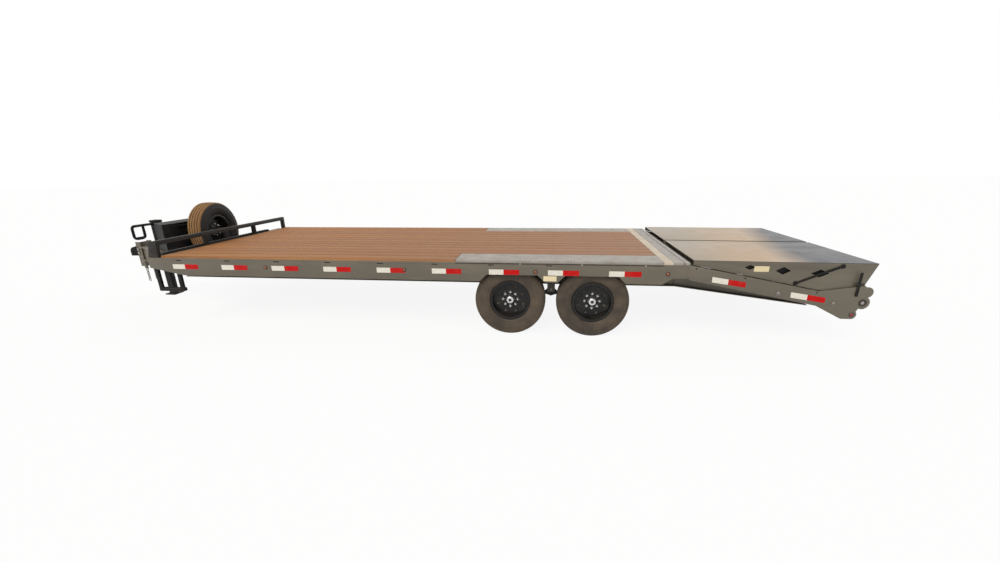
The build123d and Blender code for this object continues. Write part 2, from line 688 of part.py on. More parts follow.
for name, side in SIDES:
    outer_plate = (RAMP_OUTER - RAMP_SIDE_WALL, RAMP_OUTER)
    inner_plate = (RAMP_INNER, RAMP_INNER + RAMP_SIDE_WALL)
    between = (side * inner_plate[1], side * outer_plate[0])
    with BuildPart() as ramp_frame:
        cheek = [
            (RAMP_TIP, RAMP_TIP_LOW),
            (RAMP_TIP, RAMP_TIP_TOP - RAMP_SKIN),
            (-RAMP_HEEL_BACK, RAMP_REAR_TOP - RAMP_SKIN),
            (HEEL_TIP_REACH, RAMP_HEEL_LOW),
            (-RAMP_TUBE_RADIUS, RAMP_TUBE_RADIUS),
            (RAMP_TUBE_RADIUS, -RAMP_TUBE_RADIUS),
            (UNDERSIDE_REACH, UNDERSIDE_RISE),
        ]
        for low, high in (outer_plate, inner_plate):
            side_slab(at_pivot(cheek), side * low, side * high)
            cross_rod(X_PIVOT, PIVOT_HEIGHT, side * low, side * high, RAMP_BOSS_RADIUS)
        for share, rise, half_width, half_height in RHOMBUS_HOLES:
            reach = share * RAMP_TIP
            rhombus = [
                (reach - half_width, rise),
                (reach, rise + half_height),
                (reach + half_width, rise),
                (reach, rise - half_height),
            ]
            side_slab(at_pivot(rhombus), side * outer_plate[0], side * outer_plate[1], Mode.SUBTRACT)
        for share in RAMP_TUBE_SHARES:
            reach = share * RAMP_TIP
            ends = (reach - RAMP_TUBE / 2, reach + RAMP_TUBE / 2)
            channel_bar(ends, ramp_tube_top, ramp_tube_low, RAMP_TUBE_WALL, between)
        rung_first = RAMP_TUBE_SHARES[0] * RAMP_TIP - RAMP_TUBE / 2 - 2 * RUNG_WIDTH
        rung_last = UNDERSIDE_REACH + RUNG_WIDTH
        for index in range(RUNG_COUNT):
            reach = rung_first + (rung_last - rung_first) * index / (RUNG_COUNT - 1)
            channel_bar((reach, reach + RUNG_WIDTH), ramp_underside, rung_top, RUNG_WALL, between)
        cross_rod(X_PIVOT, PIVOT_HEIGHT, *between, RAMP_TUBE_RADIUS)
        cross_rod(X_PIVOT, PIVOT_HEIGHT, side * RAMP_INNER, side * RAMP_OUTER, shaft_bore, Mode.SUBTRACT)
    save(ramp_frame, f"ramp_frame_{name}")

    with BuildPart() as ramp_skin:
        sheet = [
            (RAMP_TIP, RAMP_TIP_TOP),
            (-RAMP_HEEL_BACK, RAMP_REAR_TOP),
            (-RAMP_HEEL_BACK, RAMP_REAR_TOP - RAMP_SKIN),
            (RAMP_TIP, RAMP_TIP_TOP - RAMP_SKIN),
        ]
        side_slab(at_pivot(sheet), side * RAMP_INNER, side * RAMP_OUTER)
    save(ramp_skin, f"ramp_skin_{name}")

    with BuildPart() as ramp_prop:
        foot = (PROP_FOOT_SHARE * RAMP_TIP, PROP_FOOT_RISE)
        head = (PROP_HEAD_SHARE * RAMP_TIP, PROP_HEAD_RISE)
        lean = math.atan2(head[1] - foot[1], head[0] - foot[0])
        across = (PROP_WIDTH / 2 * math.sin(lean), -PROP_WIDTH / 2 * math.cos(lean))
        bar = [
            (foot[0] + across[0], foot[1] + across[1]),
            (head[0] + across[0], head[1] + across[1]),
            (head[0] - across[0], head[1] - across[1]),
            (foot[0] - across[0], foot[1] - across[1]),
        ]
        prop_faces = (side * RAMP_OUTER, side * (RAMP_OUTER + PROP_WALL))
        side_slab(at_pivot(bar), *prop_faces)
        for reach, rise in (foot, head):
            cross_rod(X_PIVOT + reach, PIVOT_HEIGHT + rise, *prop_faces, PROP_WIDTH)
    save(ramp_prop, f"ramp_prop_{name}")

# Latches: T handles that stand on the hinge plates
LATCH_REACH = 78.0
LATCH_RISE = 66.0
LATCH_HANDLE = 240.0
LATCH_BAR = 12.0
with BuildPart() as ramp_latches:
    for name, side in SIDES:
        faces = (side * HALF, side * (HALF + LATCH_BAR))
        x, z = X_PIVOT + LATCH_REACH, PIVOT_HEIGHT + LATCH_RISE
        block((x - LATCH_BAR, x + LATCH_BAR), faces, (z, z + LATCH_HANDLE))
        crossbar = z + LATCH_HANDLE / 2
        block((x - 4 * LATCH_BAR, x + 4 * LATCH_BAR), faces, (crossbar, crossbar + LATCH_BAR))
save(ramp_latches, "ramp_latches")


# Wheels: tyre, rim with nuts, and hub with drum and cap
def wheel_plane(x, side):
    """Gives a plane through a wheel's centre: along the axle outwards, and up."""
    return Plane(origin=(x, side * WHEEL_Y, AXLE_Z), x_dir=(0, side, 0), z_dir=(side, 0, 0))


def spin_section(points, plane):
    """Revolves an outline of (along the axle, radius) points about the plane's own axle."""
    with BuildSketch(plane) as section:
        with BuildLine():
            Polyline(*points, close=True)
        make_face()
    revolve(section.sketch, axis=Axis(plane.origin, plane.x_dir))


TYRE_PROFILE = (
    # share of the half width that it lies inside, share of the sidewall over the rim
    (0.07, 0.268),
    (0.0, 0.436),
    (0.0, 0.591),
    (0.044, 0.748),
    (0.135, 0.9265),
    (0.24, 0.979),
    (0.594, 1.0),
)


def tyre_section():
    """Gives the tyre's outline, from one bead over the crown to the other."""
    bead_half = RIM_WIDTH / 2 - TYRE_CLEARANCE
    right = [
        (bead_half, RIM_RADIUS + TYRE_CLEARANCE),
        (bead_half, RIM_RADIUS + RIM_FLANGE_HEIGHT + BEAD_COVER),
    ]
    for inside, up in TYRE_PROFILE:
        right.append((TYRE_WIDTH / 2 * (1 - inside), RIM_RADIUS + up * (TYRE_RADIUS - RIM_RADIUS)))
    left = [(-along, radius) for along, radius in reversed(right)]
    return right + left


def rim_sections():
    """Gives the rim's outlines: barrel, two flanges and the mounting disc."""
    half = RIM_WIDTH / 2
    inside = RIM_RADIUS - RIM_WALL
    top = RIM_RADIUS + RIM_FLANGE_HEIGHT
    barrel = [(-half, inside), (-half, RIM_RADIUS), (half, RIM_RADIUS), (half, inside)]
    outlines = [barrel]
    for sign in (-1, 1):
        outlines.append([
            (sign * half, inside),
            (sign * half, top),
            (sign * (half + RIM_FLANGE_WALL), top),
            (sign * (half + RIM_FLANGE_WALL), inside),
        ])
    disc_edge = RIM_RADIUS - RIM_WALL / 2
    outlines.append([
        (0, DISC_HOLE_RADIUS),
        (0, disc_edge),
        (DISC_WALL, disc_edge),
        (DISC_WALL, DISC_HOLE_RADIUS),
    ])
    return outlines


def build_rim(plane):
    """Builds a rim with hand holes and nuts in the open part."""
    for outline in rim_sections():
        spin_section(outline, plane)
    face = Plane(origin=plane.origin, x_dir=plane.z_dir, z_dir=plane.x_dir)
    with Locations(face.offset(DISC_WALL / 2)):
        with PolarLocations(HAND_HOLE_CIRCLE, NUT_COUNT, start_angle=180 / NUT_COUNT):
            Cylinder(HAND_HOLE_RADIUS, DISC_WALL, mode=Mode.SUBTRACT)
    with Locations(face.offset(DISC_WALL + NUT_LENGTH / 2)):
        with PolarLocations(NUT_CIRCLE, NUT_COUNT):
            Cylinder(NUT_RADIUS, NUT_LENGTH)


for name, share, side in WHEELS:
    x = X_AXLES + share * AXLE_SPREAD
    plane = wheel_plane(x, side)
    with BuildPart() as tyre:
        spin_section(tyre_section(), plane)
    save(tyre, f"tyre_{name}")

    with BuildPart() as rim:
        build_rim(plane)
    save(rim, f"rim_{name}")

    with BuildPart() as hub:
        bore = SPINDLE_RADIUS + SHAFT_CLEARANCE
        drum_open = -DRUM_WALL - DRUM_DEPTH
        drum_bore = DRUM_RADIUS - DRUM_WALL
        hub_back = drum_open + 2 * DRUM_WALL
        cap_end = DISC_WALL + HUB_CAP_LENGTH
        spin_section([
            (drum_open, drum_bore),
            (drum_open, DRUM_RADIUS),
            (0, DRUM_RADIUS),
            (0, HUB_RADIUS),
            (DISC_WALL, HUB_RADIUS),
            (DISC_WALL + HUB_CAP_ROUND, HUB_CAP_RADIUS),
            (cap_end - HUB_CAP_ROUND, HUB_CAP_RADIUS),
            (cap_end, HUB_CAP_RADIUS - HUB_CAP_ROUND),
            (cap_end, 0),
            (SPINDLE_END_GAP, 0),
            (SPINDLE_END_GAP, bore),
            (hub_back, bore),
            (hub_back, HUB_RADIUS),
            (-DRUM_WALL, HUB_RADIUS),
            (-DRUM_WALL, drum_bore),
        ], plane)
    save(hub, f"hub_{name}")

# Axles: tubes with spindles and brake backing plates
drum_mouth = WHEEL_Y - DRUM_WALL - DRUM_DEPTH
with BuildPart() as axles:
    for share in (0.5, -0.5):
        x = X_AXLES + share * AXLE_SPREAD
        tube_end = drum_mouth - DRUM_GAP
        cross_rod(x, AXLE_Z, -tube_end, tube_end, AXLE_RADIUS)
        cross_rod(x, AXLE_Z, -WHEEL_Y, WHEEL_Y, SPINDLE_RADIUS)
        for side in (1, -1):
            plate = (side * (tube_end - BACKING_PLATE_WALL), side * tube_end)
            cross_rod(x, AXLE_Z, *plate, DRUM_RADIUS)
save(axles, "axles")

# Leaf springs under the axles
spring_top = AXLE_Z - AXLE_RADIUS - SPRING_SEAT
spring_bend = (SPRING_HALF ** 2 + SPRING_CAMBER ** 2) / (2 * SPRING_CAMBER)
eye_z = spring_top + SPRING_CAMBER - LEAF_WALL / 2
LEAF_HALVES = (SPRING_HALF - EYE_RADIUS, 0.794 * SPRING_HALF, 0.594 * SPRING_HALF, 0.388 * SPRING_HALF)


def leaf(x, radius, half_length, y_low, y_high):
    """Adds one curved leaf: a sector of a wide ring, thick in Z and as wide as the spring."""
    centre_z = spring_top - LEAF_WALL / 2 + spring_bend
    spread = math.degrees(math.asin(half_length / radius))
    with BuildSketch(Plane.XZ.offset(-y_low)) as outline:
        with BuildLine():
            inner = CenterArc((x, centre_z), radius, 270 - spread, 2 * spread)
            outer = CenterArc((x, centre_z), radius + LEAF_WALL, 270 - spread, 2 * spread)
            Line(inner @ 0, outer @ 0)
            Line(inner @ 1, outer @ 1)
        make_face()
    extrude(outline.sketch, amount=y_high - y_low, dir=(0, 1, 0))


with BuildPart() as leaf_springs:
    for share in (0.5, -0.5):
        for name, side in SIDES:
            x = X_AXLES + share * AXLE_SPREAD
            y_low = side * BEAM_Y - SPRING_WIDTH / 2
            y_high = y_low + SPRING_WIDTH
            for layer, half_length in enumerate(LEAF_HALVES):
                leaf(x, spring_bend - LEAF_WALL / 2 + layer * LEAF_WALL, half_length, y_low, y_high)
            for end in (-SPRING_HALF, SPRING_HALF):
                cross_rod(x + end, eye_z, y_low, y_high, EYE_RADIUS)
                bolt_hole = SHACKLE_BOLT_RADIUS + SHAFT_CLEARANCE
                cross_rod(x + end, eye_z, y_low, y_high, bolt_hole, Mode.SUBTRACT)
save(leaf_springs, "leaf_springs")

# Spring hangers at both ends and in the middle, welded under the beams
hanger_spots = (AXLE_SPREAD / 2 + SPRING_HALF, 0.0, -AXLE_SPREAD / 2 - SPRING_HALF)
cheek_inner = SPRING_WIDTH / 2 + SPRING_SIDE_CLEARANCE
EQUALISER_PIVOT = eye_z + EQUALISER_RISE
with BuildPart() as spring_hangers:
    for spot in hanger_spots:
        for name, side in SIDES:
            x, y = X_AXLES + spot, side * BEAM_Y
            pin_z = EQUALISER_PIVOT if spot == 0 else eye_z
            span = (x - HANGER_LENGTH / 2, x + HANGER_LENGTH / 2)
            outer = cheek_inner + HANGER_WALL
            block(span, (y - outer, y + outer), (BEAM_BOTTOM - HANGER_WALL, BEAM_BOTTOM))
            for sign in (-1, 1):
                cheek = (y + sign * cheek_inner, y + sign * outer)
                block(span, cheek, (pin_z - HANGER_BELOW_EYE, BEAM_BOTTOM))
            cross_rod(x, pin_z, y - outer, y + outer, SHACKLE_BOLT_RADIUS)
save(spring_hangers, "spring_hangers")

# Equalisers between the springs' inner eyes
with BuildPart() as equalisers:
    for name, side in SIDES:
        y_low = side * BEAM_Y - SPRING_WIDTH / 2
        y_high = y_low + SPRING_WIDTH
        pivot_z = EQUALISER_PIVOT
        tip_reach = EQUALISER_REACH - EYE_RADIUS - EQUALISER_TIP_GAP
        body = [
            (X_AXLES - tip_reach, eye_z - EQUALISER_SHOULDER),
            (X_AXLES, eye_z - EQUALISER_BELLY),
            (X_AXLES + tip_reach, eye_z - EQUALISER_SHOULDER),
            (X_AXLES + EQUALISER_SHOULDER, pivot_z + EQUALISER_CROWN),
            (X_AXLES - EQUALISER_SHOULDER, pivot_z + EQUALISER_CROWN),
        ]
        side_slab(body, y_low, y_high)
        hole = SHACKLE_BOLT_RADIUS + SHAFT_CLEARANCE
        cross_rod(X_AXLES, pivot_z, y_low, y_high, hole, Mode.SUBTRACT)
        for sign in (-1, 1):
            x = X_AXLES + sign * EQUALISER_REACH
            for cheek in (y_low - SPRING_SIDE_CLEARANCE - HANGER_WALL, y_high + SPRING_SIDE_CLEARANCE):
                link = [
                    (x + sign * LINK_HEAD, eye_z + LINK_HEAD),
                    (x + sign * LINK_HEAD, eye_z - LINK_DROP),
                    (x - sign * LINK_INNER, eye_z - LINK_DROP),
                    (x - sign * LINK_INNER, eye_z - LINK_NECK),
                ]
                side_slab(link, cheek, cheek + HANGER_WALL)
            cheek_out = SPRING_WIDTH / 2 + SPRING_SIDE_CLEARANCE + HANGER_WALL
            middle = side * BEAM_Y
            cross_rod(x, eye_z, middle - cheek_out, middle + cheek_out, SHACKLE_BOLT_RADIUS)
            pin = (x - sign * LINK_PIN_REACH, eye_z - LINK_PIN_DROP)
            cross_rod(*pin, middle - cheek_out, middle + cheek_out, SHACKLE_BOLT_RADIUS)
save(equalisers, "equalisers")

# Spring clamps: seat blocks, tie plates and U bolts round the axle tubes
pack_low = spring_top - LEAF_WALL * len(LEAF_HALVES)
UBOLT_SPREAD = AXLE_RADIUS + UBOLT_RADIUS + SHAFT_CLEARANCE
with BuildPart() as spring_clamps:
    for share in (0.5, -0.5):
        for name, side in SIDES:
            x, y = X_AXLES + share * AXLE_SPREAD, side * BEAM_Y
            leg_y = SPRING_WIDTH / 2 + UBOLT_RADIUS + SPRING_SIDE_CLEARANCE
            plate_half = UBOLT_SPREAD + 2 * UBOLT_RADIUS
            plate_y = leg_y + 2 * UBOLT_RADIUS
            plate_x = (x - plate_half, x + plate_half)
            block(plate_x, (y - plate_y, y + plate_y), (pack_low - TIE_PLATE, pack_low))
            for sign in (-1, 1):
                with BuildSketch(Plane.XY.offset(pack_low - 3 * TIE_PLATE)) as round_bar:
                    with Locations((x - UBOLT_SPREAD, y + sign * leg_y)):
                        Circle(UBOLT_RADIUS)
                with BuildLine(Plane.XZ.offset(-(y + sign * leg_y))) as bend:
                    Line((x - UBOLT_SPREAD, pack_low - 3 * TIE_PLATE), (x - UBOLT_SPREAD, AXLE_Z))
                    ThreePointArc(
                        (x - UBOLT_SPREAD, AXLE_Z), (x, AXLE_Z + UBOLT_SPREAD), (x + UBOLT_SPREAD, AXLE_Z)
                    )
                    Line((x + UBOLT_SPREAD, AXLE_Z), (x + UBOLT_SPREAD, pack_low - 3 * TIE_PLATE))
                sweep(round_bar.sketch, path=bend.wires()[0])
            seat_half = AXLE_RADIUS - UBOLT_RADIUS
            block(
                (x - seat_half, x + seat_half),
                (y - SPRING_WIDTH / 2, y + SPRING_WIDTH / 2),
                (spring_top + LEAF_WALL / 2, AXLE_Z - AXLE_RADIUS / 2),
            )
            saddle = (y - SPRING_WIDTH / 2, y + SPRING_WIDTH / 2)
            cross_rod(x, AXLE_Z, *saddle, AXLE_RADIUS + SHAFT_CLEARANCE, Mode.SUBTRACT)
save(spring_clamps, "spring_clamps")

# Tongue: two beams that close to the head, and the jack's plates between them
tongue_run = X_HEAD - X_FRONT
head_y = TONGUE_HEAD_SPREAD / 2
tongue_lean = (BEAM_Y - head_y) / tongue_run
flange_half = TONGUE_FLANGE / 2 * math.hypot(1, tongue_lean)
web_half = BEAM_WEB / 2 * math.hypot(1, tongue_lean)


def tongue_y(x):
    """Gives the distance of a tongue beam's middle from the centre line at a station."""
    return BEAM_Y - (x - X_FRONT) * tongue_lean


with BuildPart() as tongue_beams:
    for name, side in SIDES:
        for half, z_low, z_high in (
            (flange_half, TONGUE_BOTTOM, TONGUE_BOTTOM + BEAM_FLANGE_WALL),
            (web_half, TONGUE_BOTTOM, BEAM_TOP),
            (flange_half, BEAM_TOP - BEAM_FLANGE_WALL, BEAM_TOP),
        ):
            outline = [
                (X_FRONT, side * (BEAM_Y - half)),
                (X_FRONT, side * (BEAM_Y + half)),
                (X_HEAD, side * (head_y + half)),
                (X_HEAD, side * (head_y - half)),
            ]
            plan_slab(outline, z_low, z_high)
save(tongue_beams, "tongue_beams")

jack_half = JACK_TUBE / 2
with BuildPart() as jack_plates:
    for rear in (X_JACK - jack_half - JACK_PLATE_WALL, X_JACK + jack_half):
        front = rear + JACK_PLATE_WALL
        reach = tongue_y(front) - flange_half
        block((rear, front), (-reach, reach), (TONGUE_BOTTOM, BEAM_TOP))
save(jack_plates, "jack_plates")

# Tongue head: upright channel with a ladder of bolt holes, for the coupler's height
head_front = X_HEAD + HEAD_DEPTH
HEAD_HOLES = 4
HEAD_HOLE_RADIUS = 10.0
with BuildPart() as tongue_head:
    head_half = HEAD_WIDTH / 2
    block((X_HEAD, head_front), (-head_half, head_half), (HEAD_LOW, HEAD_HIGH))
    wall_half = head_half - HEAD_WALL
    block((X_HEAD + HEAD_WALL, head_front), (-wall_half, wall_half), (HEAD_LOW, HEAD_HIGH), Mode.SUBTRACT)
    for tab_side in (-1, 1):
        tab = tab_side * CHAIN_SPACING / 2
        block(
            (X_HEAD + HEAD_WALL, head_front - HEAD_WALL),
            (tab - CHAIN_TAB_WALL / 2, tab + CHAIN_TAB_WALL / 2),
            (HEAD_LOW - CHAIN_TAB_DROP, HEAD_LOW + HEAD_WALL),
        )
    block((X_HEAD, head_front), (-head_half, head_half), (HEAD_LOW, HEAD_LOW + HEAD_WALL))
    chain_x = (X_HEAD + head_front) / 2
    chain_hole = HEAD_LOW - CHAIN_TAB_DROP / 2
    cross_rod(chain_x, chain_hole, -head_half, head_half, CHAIN_HOLE_RADIUS, Mode.SUBTRACT)
    for index in range(HEAD_HOLES):
        z = HEAD_LOW + (HEAD_HIGH - HEAD_LOW) * (index + 1) / (HEAD_HOLES + 1)
        cross_rod(head_front - HEAD_DEPTH / 3, z, -head_half, head_half, HEAD_HOLE_RADIUS, Mode.SUBTRACT)
save(tongue_head, "tongue_head")

# Coupler: shank in the head, nose over the ball, and the lever on top
ball_x = X_NOSE - BALL_FROM_NOSE
with BuildPart() as coupler:
    half = COUPLER_WIDTH / 2
    block((X_HEAD + HEAD_WALL, ball_x), (-half, half), (COUPLER_LOW, COUPLER_HIGH - COUPLER_STEP))
    with BuildSketch(Plane.XY.offset(COUPLER_LOW)) as nose:
        with Locations((ball_x, 0)):
            Circle(BALL_FROM_NOSE)
    extrude(nose.sketch, amount=COUPLER_HIGH - COUPLER_LOW, dir=(0, 0, 1))
    with BuildSketch(Plane.XZ) as side:
        Polygon(
            (X_HEAD, COUPLER_LOW),
            (X_NOSE, COUPLER_LOW),
            (X_NOSE, COUPLER_LOW + COUPLER_LIP),
            (X_NOSE - COUPLER_SLOPE, COUPLER_HIGH),
            (X_HEAD, COUPLER_HIGH),
            align=None,
        )
    extrude(side.sketch, amount=COUPLER_WIDTH, both=True, mode=Mode.INTERSECT)
    with Locations((ball_x, 0, COUPLER_LOW + BALL_SOCKET_DEPTH / 2)):
        Cylinder(BALL_SOCKET_RADIUS, BALL_SOCKET_DEPTH, mode=Mode.SUBTRACT)
    chamfer(coupler.edges().group_by(Axis.Z)[-1], COUPLER_CHAMFER)
save(coupler, "coupler")

with BuildPart() as coupler_lever:
    lever_low = COUPLER_HIGH - COUPLER_STEP
    lever_rear = head_front + LEVER_GAP
    lever_front = ball_x - BALL_FROM_NOSE
    block((lever_rear, lever_front), (-LEVER_HALF, LEVER_HALF), (lever_low, lever_low + LEVER_HEIGHT))
    grip_front = ball_x - BALL_FROM_NOSE / 2
    grip_across = (-LEVER_GRIP_HALF, LEVER_GRIP_HALF)
    block((lever_rear, grip_front), grip_across, (COUPLER_HIGH, COUPLER_HIGH + LEVER_GRIP))
save(coupler_lever, "coupler_lever")

# Safety chains: links hanging from the head's tabs, each turned a quarter to the last
def corner_rise(radius):
    """Gives how far a round seat rises where a chain bar's corners meet it."""
    return radius - math.sqrt(radius ** 2 - (CHAIN_BAR / 2) ** 2)


link_seat = corner_rise(CHAIN_INNER_WIDTH / 2)
tab_seat = CHAIN_HOLE_RADIUS - corner_rise(CHAIN_HOLE_RADIUS)
link_pitch = CHAIN_INNER_LENGTH - 2 * link_seat - CHAIN_SLACK
first_link = chain_hole - tab_seat + link_seat + CHAIN_SLACK - CHAIN_INNER_LENGTH / 2
with BuildPart() as safety_chains:
    for tab_side in (-1, 1):
        for index in range(CHAIN_LINKS):
            flat = Plane(
                origin=(chain_x, tab_side * CHAIN_SPACING / 2, first_link - index * link_pitch),
                x_dir=(0, 0, 1),
                z_dir=(0, 1, 0) if index % 2 else (1, 0, 0),
            )
            with BuildSketch(flat) as link:
                SlotOverall(CHAIN_INNER_LENGTH + 2 * CHAIN_BAR, CHAIN_INNER_WIDTH + 2 * CHAIN_BAR)
                SlotOverall(CHAIN_INNER_LENGTH, CHAIN_INNER_WIDTH, mode=Mode.SUBTRACT)
            extrude(link.sketch, amount=CHAIN_BAR / 2, both=True)
save(safety_chains, "safety_chains")

# Jack: square tube, inner leg with its foot on the ground, and a crank
with BuildPart() as jack_tube:
    square = (-jack_half, jack_half)
    block((X_JACK - jack_half, X_JACK + jack_half), square, (JACK_LOW, JACK_HIGH - JACK_CAP))
    bore_half = jack_half - JACK_WALL
    block(
        (X_JACK - bore_half, X_JACK + bore_half),
        (-bore_half, bore_half),
        (JACK_LOW, JACK_HIGH - JACK_CAP - JACK_WALL),
        Mode.SUBTRACT,
    )
    cap_half = jack_half + JACK_WALL
    block((X_JACK - cap_half, X_JACK + cap_half), (-cap_half, cap_half), (JACK_HIGH - JACK_CAP, JACK_HIGH))
save(jack_tube, "jack_tube")

with BuildPart() as jack_leg:
    leg_half = bore_half - JACK_CLEARANCE
    leg_z = (JACK_FOOT_WALL, JACK_LOW + JACK_FOOT)
    block((X_JACK - leg_half, X_JACK + leg_half), (-leg_half, leg_half), leg_z)
    foot_half = JACK_FOOT / 2
    block((X_JACK - foot_half, X_JACK + foot_half), (-foot_half, foot_half), (0, JACK_FOOT_WALL))
save(jack_leg, "jack_leg")

with BuildPart() as jack_crank:
    crank_bend = 3 * CRANK_RADIUS
    with BuildLine(Plane.YZ.offset(X_JACK)) as crank_path:
        FilletPolyline(
            (jack_half, CRANK_HEIGHT),
            (CRANK_REACH, CRANK_HEIGHT),
            (CRANK_REACH, CRANK_HEIGHT - CRANK_DROP),
            (CRANK_REACH - CRANK_GRIP, CRANK_HEIGHT - CRANK_DROP),
            (CRANK_REACH - CRANK_GRIP, CRANK_HEIGHT - CRANK_RADIUS - CRANK_END_GAP),
            radius=crank_bend,
        )
    with BuildSketch(Plane.XZ.offset(-jack_half)) as crank_section:
        with Locations((X_JACK, CRANK_HEIGHT)):
            Circle(CRANK_RADIUS)
    sweep(crank_section.sketch, path=crank_path.wires()[0])
    grip_z = CRANK_HEIGHT - CRANK_DROP
    grip_y = (CRANK_REACH - CRANK_GRIP + crank_bend, CRANK_REACH - crank_bend)
    cross_rod(X_JACK, grip_z, *grip_y, GRIP_RADIUS)
save(jack_crank, "jack_crank")

# Toolbox on the tongue, open at the top, and its lid hinged at the rear
box_rear = X_FRONT + TOOLBOX_AHEAD
box_front = box_rear + TOOLBOX_LENGTH
box_half = TOOLBOX_WIDTH / 2
box_rim = BEAM_TOP + TOOLBOX_HEIGHT
hinge_x = box_rear - LID_HINGE_RADIUS
hinge_z = box_rim + LID_GAP / 2


def box_plan(wall):
    """Gives the toolbox's outline from above, set in by a wall."""
    rear, front = box_rear + wall, box_front - wall
    rear_half, front_half = box_half - wall, TOOLBOX_FRONT_WIDTH / 2 - wall
    return [(rear, -rear_half), (front, -front_half), (front, front_half), (rear, rear_half)]


with BuildPart() as toolbox:
    plan_slab(box_plan(0.0), BEAM_TOP, box_rim)
    plan_slab(box_plan(TOOLBOX_WALL), BEAM_TOP + TOOLBOX_WALL, box_rim, Mode.SUBTRACT)
    for sign in (-1, 1):
        barrel = sign * (LID_HINGE_LENGTH / 2 + LID_HINGE_GAP)
        cross_rod(hinge_x, hinge_z, barrel, barrel + sign * LID_HINGE_LENGTH / 2, LID_HINGE_RADIUS)
        block(
            (hinge_x, box_rear + TOOLBOX_WALL),
            (barrel, barrel + sign * LID_HINGE_LENGTH / 2),
            (box_rim - 4 * LID_HINGE_RADIUS, box_rim - LID_HINGE_RADIUS / 2),
        )
save(toolbox, "toolbox")

with BuildPart() as toolbox_lid:
    lid_low = box_rim + LID_GAP
    plan_slab(box_plan(0.0), lid_low, lid_low + LID_HEIGHT)
    plan_slab(box_plan(TOOLBOX_WALL), lid_low, lid_low + LID_HEIGHT - TOOLBOX_WALL, Mode.SUBTRACT)
    knuckle = (-LID_HINGE_LENGTH / 2, LID_HINGE_LENGTH / 2)
    cross_rod(hinge_x, hinge_z, *knuckle, LID_HINGE_RADIUS)
    leaf_z = (lid_low + LID_HINGE_RADIUS / 2, lid_low + 4 * LID_HINGE_RADIUS)
    block((hinge_x, box_rear + TOOLBOX_WALL), knuckle, leaf_z)
save(toolbox_lid, "toolbox_lid")

# Spare wheel upright ahead of the deck, on its post
spare_x = X_FRONT + SPARE_AHEAD + TYRE_WIDTH / 2
spare_plane = Plane(origin=(spare_x, SPARE_SIDE, SPARE_HEIGHT), x_dir=(1, 0, 0), z_dir=(0, -1, 0))
with BuildPart() as spare_tyre:
    spin_section(tyre_section(), spare_plane)
save(spare_tyre, "spare_tyre")

with BuildPart() as spare_rim:
    for outline in rim_sections():
        spin_section(outline, spare_plane)
    spare_face = Plane(origin=spare_plane.origin, x_dir=(0, 1, 0), z_dir=(1, 0, 0))
    with Locations(spare_face.offset(DISC_WALL / 2)):
        with PolarLocations(HAND_HOLE_CIRCLE, NUT_COUNT, start_angle=180 / NUT_COUNT):
            Cylinder(HAND_HOLE_RADIUS, DISC_WALL, mode=Mode.SUBTRACT)
        with PolarLocations(NUT_CIRCLE, NUT_COUNT):
            Cylinder(NUT_RADIUS / 2, DISC_WALL, mode=Mode.SUBTRACT)
save(spare_rim, "spare_rim")

with BuildPart() as spare_bracket:
    post_rear = X_FRONT + SPARE_POST_AHEAD
    post_front = post_rear + SPARE_POST
    beam_reach = tongue_y(post_front) - flange_half
    block((post_rear, post_front), (-beam_reach, beam_reach), (BEAM_TOP - SPARE_POST, BEAM_TOP))
    post_half = SPARE_POST / 2
    post_y = (SPARE_SIDE - post_half, SPARE_SIDE + post_half)
    block((post_rear, post_front), post_y, (BEAM_TOP - SPARE_POST, SPARE_HEIGHT + post_half))
    with Locations(Location(((post_front + spare_x) / 2, SPARE_SIDE, SPARE_HEIGHT), (0, 90, 0))):
        Cylinder(SPARE_ARM_RADIUS, spare_x - post_front)
    with Locations(Location((spare_x - DISC_WALL / 2, SPARE_SIDE, SPARE_HEIGHT), (0, 90, 0))):
        Cylinder(NUT_CIRCLE + 2 * NUT_RADIUS, DISC_WALL)
save(spare_bracket, "spare_bracket")

# Front rail: a square tube on posts along the deck's front edge
with BuildPart() as front_rail:
    rail_x = X_FRONT - FRONT_RAIL_INSET
    half = FRONT_RAIL_TUBE / 2
    rail_span = (rail_x - half, rail_x + half)
    rail_end = HALF
    block(rail_span, (-rail_end, rail_end), (FRONT_RAIL_HEIGHT - FRONT_RAIL_TUBE, FRONT_RAIL_HEIGHT))
    for share in FRONT_RAIL_POST_SHARES:
        post = share * (rail_end - half)
        block(rail_span, (post - half, post + half), (RAIL_TOP, FRONT_RAIL_HEIGHT))
    gusset = [
        (rail_x, RAIL_TOP),
        (rail_x + GUSSET_FOOT, RAIL_TOP),
        (rail_x + GUSSET_HEAD, FRONT_RAIL_HEIGHT),
        (rail_x, FRONT_RAIL_HEIGHT),
    ]
    side_slab(gusset, rail_end - GUSSET_WALL, rail_end)
    toe_x = rail_x + TOE_BAR_AHEAD
    toe_y = (TOE_BAR_RIGHT_SHARE * RAIL_INNER, TOE_BAR_LEFT_SHARE * RAIL_INNER)
    block((toe_x - TOE_BAR / 2, toe_x + TOE_BAR / 2), toe_y, (RAIL_TOP, RAIL_TOP + TOE_BAR))
    for reach in toe_y:
        block((rail_x, toe_x), (reach - GUSSET_WALL, reach + GUSSET_WALL), (RAIL_TOP, RAIL_TOP + TOE_BAR))
save(front_rail, "front_rail")

